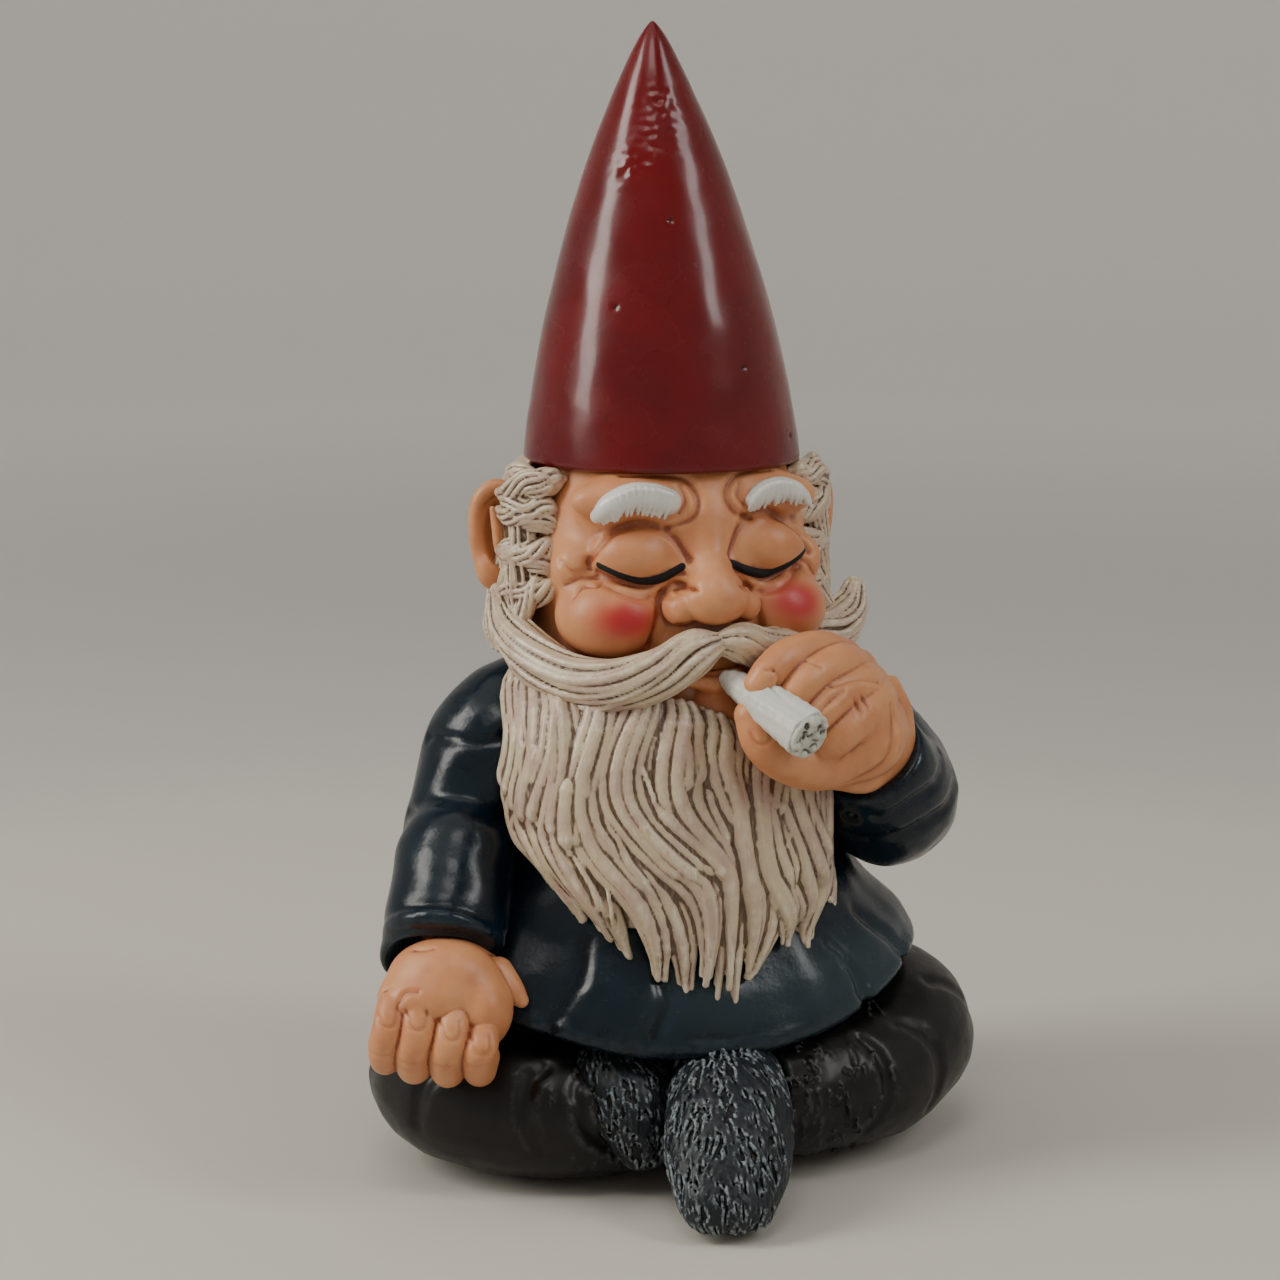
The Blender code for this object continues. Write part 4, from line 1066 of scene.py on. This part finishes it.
def make_legs():
    folds = {
        "right_leg": (
            ((-30, 1.4, 31.1, .3), (-32, -0.6, 24.1, .7), (-30, -0.6, 16.1, .7), (-26, -0.6, 10.1, .3)),
            ((-38, 3.4, 33.1, .3), (-42, 3.4, 27.1, .8), (-43, 3.4, 19.1, .7), (-40, 3.4, 11.1, .3)),
            ((-50, 11.4, 34.1, .3), (-56, 15.4, 30.1, .9), (-60, 19.4, 23.1, .8), (-61, 21.4, 14.1, .3)),
            ((-62, 39.4, 34.1, .3), (-66, 41.4, 26.1, .8), (-67, 45.4, 16.1, .4)),
            ((-56, 59.4, 32.1, .3), (-60, 59.4, 22.1, .7), (-58, 61.4, 12.1, .3))),
        "left_leg": (
            ((34, 6.4, 31.3, .3), (38, 4.4, 23.3, .7), (38, 4.4, 14.3, .7), (34, 4.4, 7.3, .3)),
            ((46, 10.4, 34.3, .3), (52, 12.4, 27.3, .9), (54, 14.4, 18.3, .8), (52, 14.4, 9.3, .3)),
            ((60, 26.4, 37.3, .3), (66, 30.4, 30.3, .8), (69, 34.4, 21.3, .7), (68, 36.4, 11.3, .3)),
            ((66, 50.4, 35.3, .3), (71, 52.4, 25.3, .8), (70, 56.4, 14.3, .4)),
            ((56, 68.4, 31.3, .3), (62, 67.4, 21.3, .7), (60, 68.4, 11.3, .3))),
    }

    def by_the_boots(p):
        """At the front, between ragged edges to the right and left."""
        front, middle, wide = -20, 2, 24
        return p.y < front and abs(p.x - middle) < wide + 34 * noise.noise(p / 2.5)

    for node, phase in (("right_leg", 0.0), ("left_leg", 1.4), ("hips", 0.7)):
        f = cad_field(node, 0.8 if node == "hips" else 0.55, soften=8, origin=foot(node))
        x, y, z = f.axes()
        middle = np.exp(-(x / 26) ** 2)
        f.d += (0.45 * np.sin(x / 2.3 + 0.8 * np.sin(z / 7) + phase) * middle
                + 0.35 * np.sin(x / 6.5 + z / 9 + y / 8 + phase))
        tree = tree_of(node)
        for points in folds.get(node, ()):
            crease(f, tree, points, 3.0)
        if node != "hips":
            fur(f, node, 1700, 51 if node == "right_leg" else 52, 5.0, 0.42, keep=by_the_boots)
        field_object(node + "_cloth", f, CHARCOAL, "trouser_charcoal", node, relief=9, gain=1.2)


def make_boots():
    for node, count, seed in (("left_boot", 1900, 31), ("right_boot", 750, 32)):
        f = cad_field(node, 0.38, soften=3, grow=-0.35)
        fur(f, node, count, seed, 5.6, 0.50)
        field_object(node + "_fur", f, SLATE, "boot_slate", node, relief=6, gain=1.6)


# ---------------------------------------------------------------- hands

def make_right_hand():
    low, high = box("right_hand")
    f = Field(low - 4, high + 4, 0.38)
    centre = (low + high) / 2 + (-0.5, -1.3, -3.9)
    across, front, up = (np.array(v) for v in ((0.93, -0.37, 0), (-0.37, -0.93, 0), (0, 0, 1)))

    def p(a, d, u, r):
        return (*(centre + across * a + front * d + up * u), r)

    def q(a, u, r, d=13.0):
        place = centre + across * a + front * d
        return (place[0], centre[2] + u, r)

    f.blob(centre + front * 0.5 + up * 0.4, (12.8, 9.0, 10.0), 0, turn=-21.7)
    f.blob(centre + front * 1.5 + up * 9.5, (11.8, 8.6, 8.6), 2.5, turn=-21.7)
    f.chain([p(1, 0, 4, 10.2), p(1, -6, 9, 8.6), p(3, -13, 15, 7.2)], 3)
    f.blob(centre + front * 5 + up * 6.5 - across * 3, (10.5, 8.0, 6.0), 2.5, turn=-21.7)
    f.blob(centre + front * 3 + up * 3.5 + across * 9, (6.0, 8.0, 7.5), 2.5, turn=-21.7)
    for a, top, base, r in ((-10.4, 7.0, -6.4, 3.3), (-4.2, 6.6, -7.9, 3.7),
                            (2.8, 4.6, -8.5, 3.7), (9.2, 1.6, -8.3, 3.5)):
        lean = 0.10 * (top - base)
        f.chain(curve([p(a - lean, 0, base + 0.4, r), p(a - lean, 6.6, base - 0.4, r),
                       p(a - lean * 0.7, 10.9, base + 4.2, r), p(a, 11.6, (top + base) / 2 + 1, r),
                       p(a + lean * 0.3, 10.2, top - 2.4, r * 0.97),
                       p(a + lean * 0.4, 7.4, top + 0.2, r * 0.86)], 5), 0.35)
        f.line([q(a - 2.0, top - 0.6, .25), q(a - 1.3, top - 3.4, .34), q(a + 0.4, top - 4.2, .38),
                q(a + 1.9, top - 3.2, .34), q(a + 2.4, top - 0.6, .25)], 0, 0.6, True)
        f.line([q(a - lean - 2.2, base + 3.2, .15), q(a - lean, base + 2.7, .3),
                q(a - lean + 2.2, base + 3.2, .15)], 0, 0.7, True)
    # the thumb lies behind, at the palm's inner side
    f.chain(curve([p(11.0, -4, 9.5, 3.4), p(14.0, -2.6, 6.6, 2.6), p(16.2, -2, 4.0, 1.6)], 5), 1.2)
    for points in (
        (q(-12.4, 12, .3, 8), q(-8.5, 15.6, .5, 6), q(-2, 17.2, .3, 4)),
        (q(-13.6, 6.4, .3, 9), q(-12.4, 8.4, .45, 9), q(-10.6, 9.2, .3, 10)),
        (q(-7.4, 7.4, .3), q(-6.0, 9.4, .4), q(-3.4, 9.8, .3)),
    ):
        f.line(points, 0, 1.0, True)
    field_object("right_hand_skin", f, HAND, "skin", "right_hand", relief=10, gain=1.2)


def make_left_hand():
    low, high = box("left_hand")
    f = Field(low - 4, high + (4, 4, 5), 0.38, foot("left_hand"))
    f.blob((27, 17.2, 21.6), (11.5, 9.5, 12.5), 0)
    f.chain(((28, 18.2, 20, 11.2), (35, 22.2, 16.4, 10.8), (43, 30.2, 9.6, 9.0)), 4)
    fingers = (
        ((30, 20.2, 33.2, 4.5), (22.4, 14.6, 36.2, 4.5), (14.0, 9.8, 36.2, 4.2),
         (8.8, 7.4, 34, 3.7), (6.0, 6.8, 31.4, 3.1)),
        ((33, 19.2, 30.8, 4.6), (25.8, 11.6, 33.6, 4.6), (18.0, 6.8, 32.6, 4.2),
         (13.8, 5, 29.5, 3.7), (12.2, 5.4, 26.8, 3.1)),
        ((36, 20.2, 27.4, 4.7), (29.8, 11, 29.4, 4.7), (22.0, 5.6, 27.6, 4.3),
         (17.6, 3.8, 24.6, 3.7), (16.2, 4.8, 22, 3.0)),
        ((38, 22.2, 23.6, 5.4), (33.2, 12.2, 24.6, 5.6), (26.6, 6.4, 22.4, 4.8),
         (22.4, 4.2, 19.2, 3.8), (20.6, 5.4, 17, 2.9)))
    for finger, k in zip(fingers, (0.5, 0.5, 0.5, 0.7)):
        f.chain(curve(finger, 6), k)
    f.chain(curve(((30, 14.2, 13.6, 6.2), (21, 9.6, 12.8, 5.8), (12.4, 6.6, 14.8, 4.9),
                   (6.6, 5.8, 19.2, 4.3), (4.6, 7.4, 24.8, 3.6)), 6), 1.6)
    f.blob((33, 13.2, 16.4), (8.6, 7.4, 8.0), 3.0)
    f.chain(curve(((42, 21.2, 26.6, 2.0), (45.5, 24.2, 18.6, 3.0), (44, 24.7, 10.6, 3.6),
                   (36, 19.2, 6.6, 3.2), (27, 15.2, 7.6, 2.2)), 6), 1.6)
    for points, k in (
        # nails of the index finger and the thumb
        (((8.3, 34.6, .25), (9.6, 33, .36), (9.1, 31, .34), (7.6, 30, .25)), 0.6),
        (((6.4, 34.8, .25), (8.2, 34.8, .32)), 0.6),
        (((3.0, 22, .25), (3.8, 20.2, .36), (5.8, 19.8, .36), (7.0, 21.2, .3),
          (7.2, 23.4, .25)), 0.6),
        # knuckles, the notch between the fingers, and the fold at the palm's edge
        (((25.8, 28, .2), (26.9, 26, .42), (27.6, 24.4, .2)), 0.6),
        (((27.9, 28.4, .2), (29.0, 26.6, .34), (29.4, 25.8, .2)), 0.6),
        (((17.6, 26.4, .4), (19.8, 28.2, .7), (23.0, 30, .4)), 0.9),
        (((15.8, 36, .2), (17.6, 35.5, .3), (18.8, 34.8, .2)), 0.6),
        (((36.4, 25.2, .3), (37.0, 20, .7), (35.0, 13, .8), (30.0, 9.2, .7),
          (21.7, 7.2, .3)), 1.5),
        (((33.6, 30, .2), (27.0, 31.6, .3), (20.8, 30.8, .3)), 0.8),
    ):
        f.line(points, 0, k, True)
    field_object("left_hand_skin", f, HAND, "skin", "left_hand", relief=10, gain=1.2)


# ---------------------------------------------------------------- cigarette

def trim(field, place, way, beyond):
    """Cuts a field off flat, a little way beyond a place."""
    past = sum((a - b) * c for a, b, c in zip(field.axes(), place, way))
    field.d = np.maximum(field.d, past - beyond).astype(np.float32)


def make_cigarette():
    low, high = box("cigarette")
    f = Field(low - 4, high + 4, 0.3)
    mouth = foot("cigarette") + (3, 21.6, 12.5)
    end = foot("cigarette") + (12.2, 1, 4.2)
    along = (end - mouth) / np.linalg.norm(end - mouth)
    rows = [(*(mouth + (end - mouth) * t), r) for t, r in
            ((0.0, 2.6), (0.2, 3.5), (0.45, 4.5), (0.7, 5.0), (0.97, 5.3))]
    f.chain(curve(rows, 5), 0)
    x, y, z = f.axes()
    f.d += 0.42 * np.sin(x * 0.8 + y * 0.4) * np.sin(z * 0.7 - y * 0.3)
    f.d += 0.12 * np.sin(x * 2.1 - y * 0.7 + z) * np.sin(z * 1.7 + y * 0.8)
    trim(f, end, along, 0.2)
    side = np.cross(along, (0, 0, 1))
    side /= np.linalg.norm(side)
    top = np.cross(side, along)
    f.chain([(*(mouth + (end - mouth) * t + side * s + top * u), .35) for t, s, u in
             ((.15, -1.2, 3.4), (.45, 0.4, 4.5), (.75, 1.8, 4.9), (.98, 2.6, 4.9))], 0.5, True)
    field_object("cigarette_paper", f, PAPER, "paper_white", "cigarette", relief=8, gain=1.4)
    low, high = box("ash_tip")
    f = Field(low - 3, high + 3, 0.3)
    f.chain([(*(end + along * s), r) for s, r in ((-1.0, 4.7), (0.5, 4.8))], 0)
    trim(f, end, along, 1.3)
    rng = np.random.default_rng(77)
    for i in range(26):
        a, s = rng.uniform(0, 2 * math.pi), 4.3 * math.sqrt(rng.uniform(0, 1))
        spot = end + along * 1.2 + side * math.cos(a) * s + top * math.sin(a) * s
        if i % 2:
            f.blob(spot + along * 0.1, (.9, .9, .8), 0.4)
        else:
            f.blob(spot + along * 0.3, rng.uniform(0.5, 1.0, 3), 0.3, cut=True)
    field_object("ash_tip_crumbs", f, ASH, "ash_grey", "ash_tip", relief=5, gain=2.2)


# ---------------------------------------------------------------- all pieces

make_hat()
face = make_head()
for side in (RIGHT, LEFT):
    make_ear(side)
for side in (RIGHT, LEFT):
    make_brow(side, face)
make_beard()
make_moustaches()
make_sideburns()
make_back_hair()
make_coat()
make_sleeves()
make_legs()
make_boots()
make_right_hand()
make_left_hand()
make_cigarette()

# these CAD nodes are shown as they are
for node, material in (("base_plate", RESIN), ("base_pad", FOAM), ("right_shoulder_pin", STEEL),
                       ("left_shoulder_pin", STEEL)):
    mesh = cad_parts[node].data
    mesh.materials.clear()
    mesh.materials.append(material)


# ---------------------------------------------------------------- stage, camera and light

def make_stage():
    """A round floor that curves up into a wall. It is a little darker from 0.28 m out, and from 0.6 m
    out it grows much lighter, painted light that makes up for the lamps reaching the far wall less.
    """
    profile = ((0.25, 0), (0.6, 0), (1.2, 0), (1.9, 0), (2.2, 0.03), (2.45, 0.12), (2.65, 0.3),
               (2.78, 0.6), (2.82, 1.2), (2.82, 3.6))  # distance out, and height
    around = 96
    points = [(0, 0, 0)]
    for r, z in profile:
        for i in range(around):
            a = 2 * math.pi * i / around
            points.append((r * math.cos(a), r * math.sin(a), z))
    faces = [(0, 1 + i, 1 + (i + 1) % around) for i in range(around)]
    for j in range(len(profile) - 1):
        for i in range(around):
            a, b = 1 + j * around, 1 + (j + 1) * around
            faces.append((a + i, b + i, b + (i + 1) % around, a + (i + 1) % around))
    mesh = bpy.data.meshes.new("studio_sweep")
    mesh.from_pydata(points, [], faces)
    mesh.shade_smooth()
    n = Nodes("studio_paint")
    length = n.add("VectorMath", operation="LENGTH")
    n.put(length.inputs[0], n.place)
    reach = length.outputs["Value"]
    floor = n.mix(n.noise(260, 3), (0.57, 0.54, 0.485), (0.61, 0.58, 0.525))
    near = n.mix(n.ramp(reach, 0.28, 0.46), floor, (0.53, 0.51, 0.49))
    # painted light: from 0.6 m out the colour grows much lighter, standing in for light on the far wall,
    # which the lamps reach less
    wall = n.mix(n.ramp(reach, 0.6, 1.9), near, (0.92, 0.90, 0.875))
    n.put(n.shader.inputs["Base Color"], wall)
    n.shader.inputs["Roughness"].default_value = 0.75
    mesh.materials.append(n.material)
    sweep = bpy.data.objects.new("studio_sweep", mesh)
    bpy.context.scene.collection.objects.link(sweep)


make_stage()

# the photograph's viewing angle, and metres from the gnome's axis and above the floor
AZIMUTH, PITCH, DISTANCE, EYE = math.radians(-18), math.radians(10.15), 0.62, 0.225
ASIDE = math.radians(0.348)  # the gnome sits a little right of the picture's middle
SENSOR, LENS = 36, 78.75

camera = bpy.data.cameras.new("camera")
camera.sensor_width = SENSOR
camera.lens = LENS
camera.clip_start = 0.01
view = bpy.data.objects.new("camera", camera)
view.location = (math.sin(AZIMUTH) * DISTANCE, -math.cos(AZIMUTH) * DISTANCE, EYE)
view.rotation_euler = (math.pi / 2 - PITCH, 0, AZIMUTH + ASIDE)
bpy.context.scene.collection.objects.link(view)
bpy.context.scene.camera = view

LIT = Vector((0, 0, 0.13))  # the lights point here
LIGHTS = (  # name, degrees round from the front and up, distance, size, watts, colour
    ("window", -92, 30, 1.15, (0.34, 0.85), 9.8, (1.0, 0.97, 0.90)),
    ("room", 46, 38, 1.3, (0.30, 0.75), 5.0, (0.97, 0.98, 0.96)),
    ("front", -24, 58, 1.5, (0.5, 0.3), 2.3, (1.0, 0.98, 0.92)),
    ("ceiling", -80, 78, 2.9, (3.0, 3.0), 23.5, (1.0, 0.985, 0.93)),
)
for name, azimuth, elevation, distance, size, power, colour in LIGHTS:
    light = bpy.data.lights.new(name, "AREA")
    light.shape = "RECTANGLE"
    light.size, light.size_y = size
    light.energy = power
    light.color = colour
    lamp = bpy.data.objects.new(name, light)
    a, e = math.radians(azimuth), math.radians(elevation)
    place = Vector((math.sin(a) * math.cos(e), -math.cos(a) * math.cos(e), math.sin(e)))
    lamp.location = LIT + place * distance
    lamp.rotation_euler = (-place).to_track_quat("-Z", "Y").to_euler()
    bpy.context.scene.collection.objects.link(lamp)

world = bpy.data.worlds.new("room")
world.use_nodes = True
backdrop = world.node_tree.nodes["Background"]
backdrop.inputs["Color"].default_value = (0.80, 0.79, 0.73, 1)
backdrop.inputs["Strength"].default_value = 0.11
bpy.context.scene.world = world
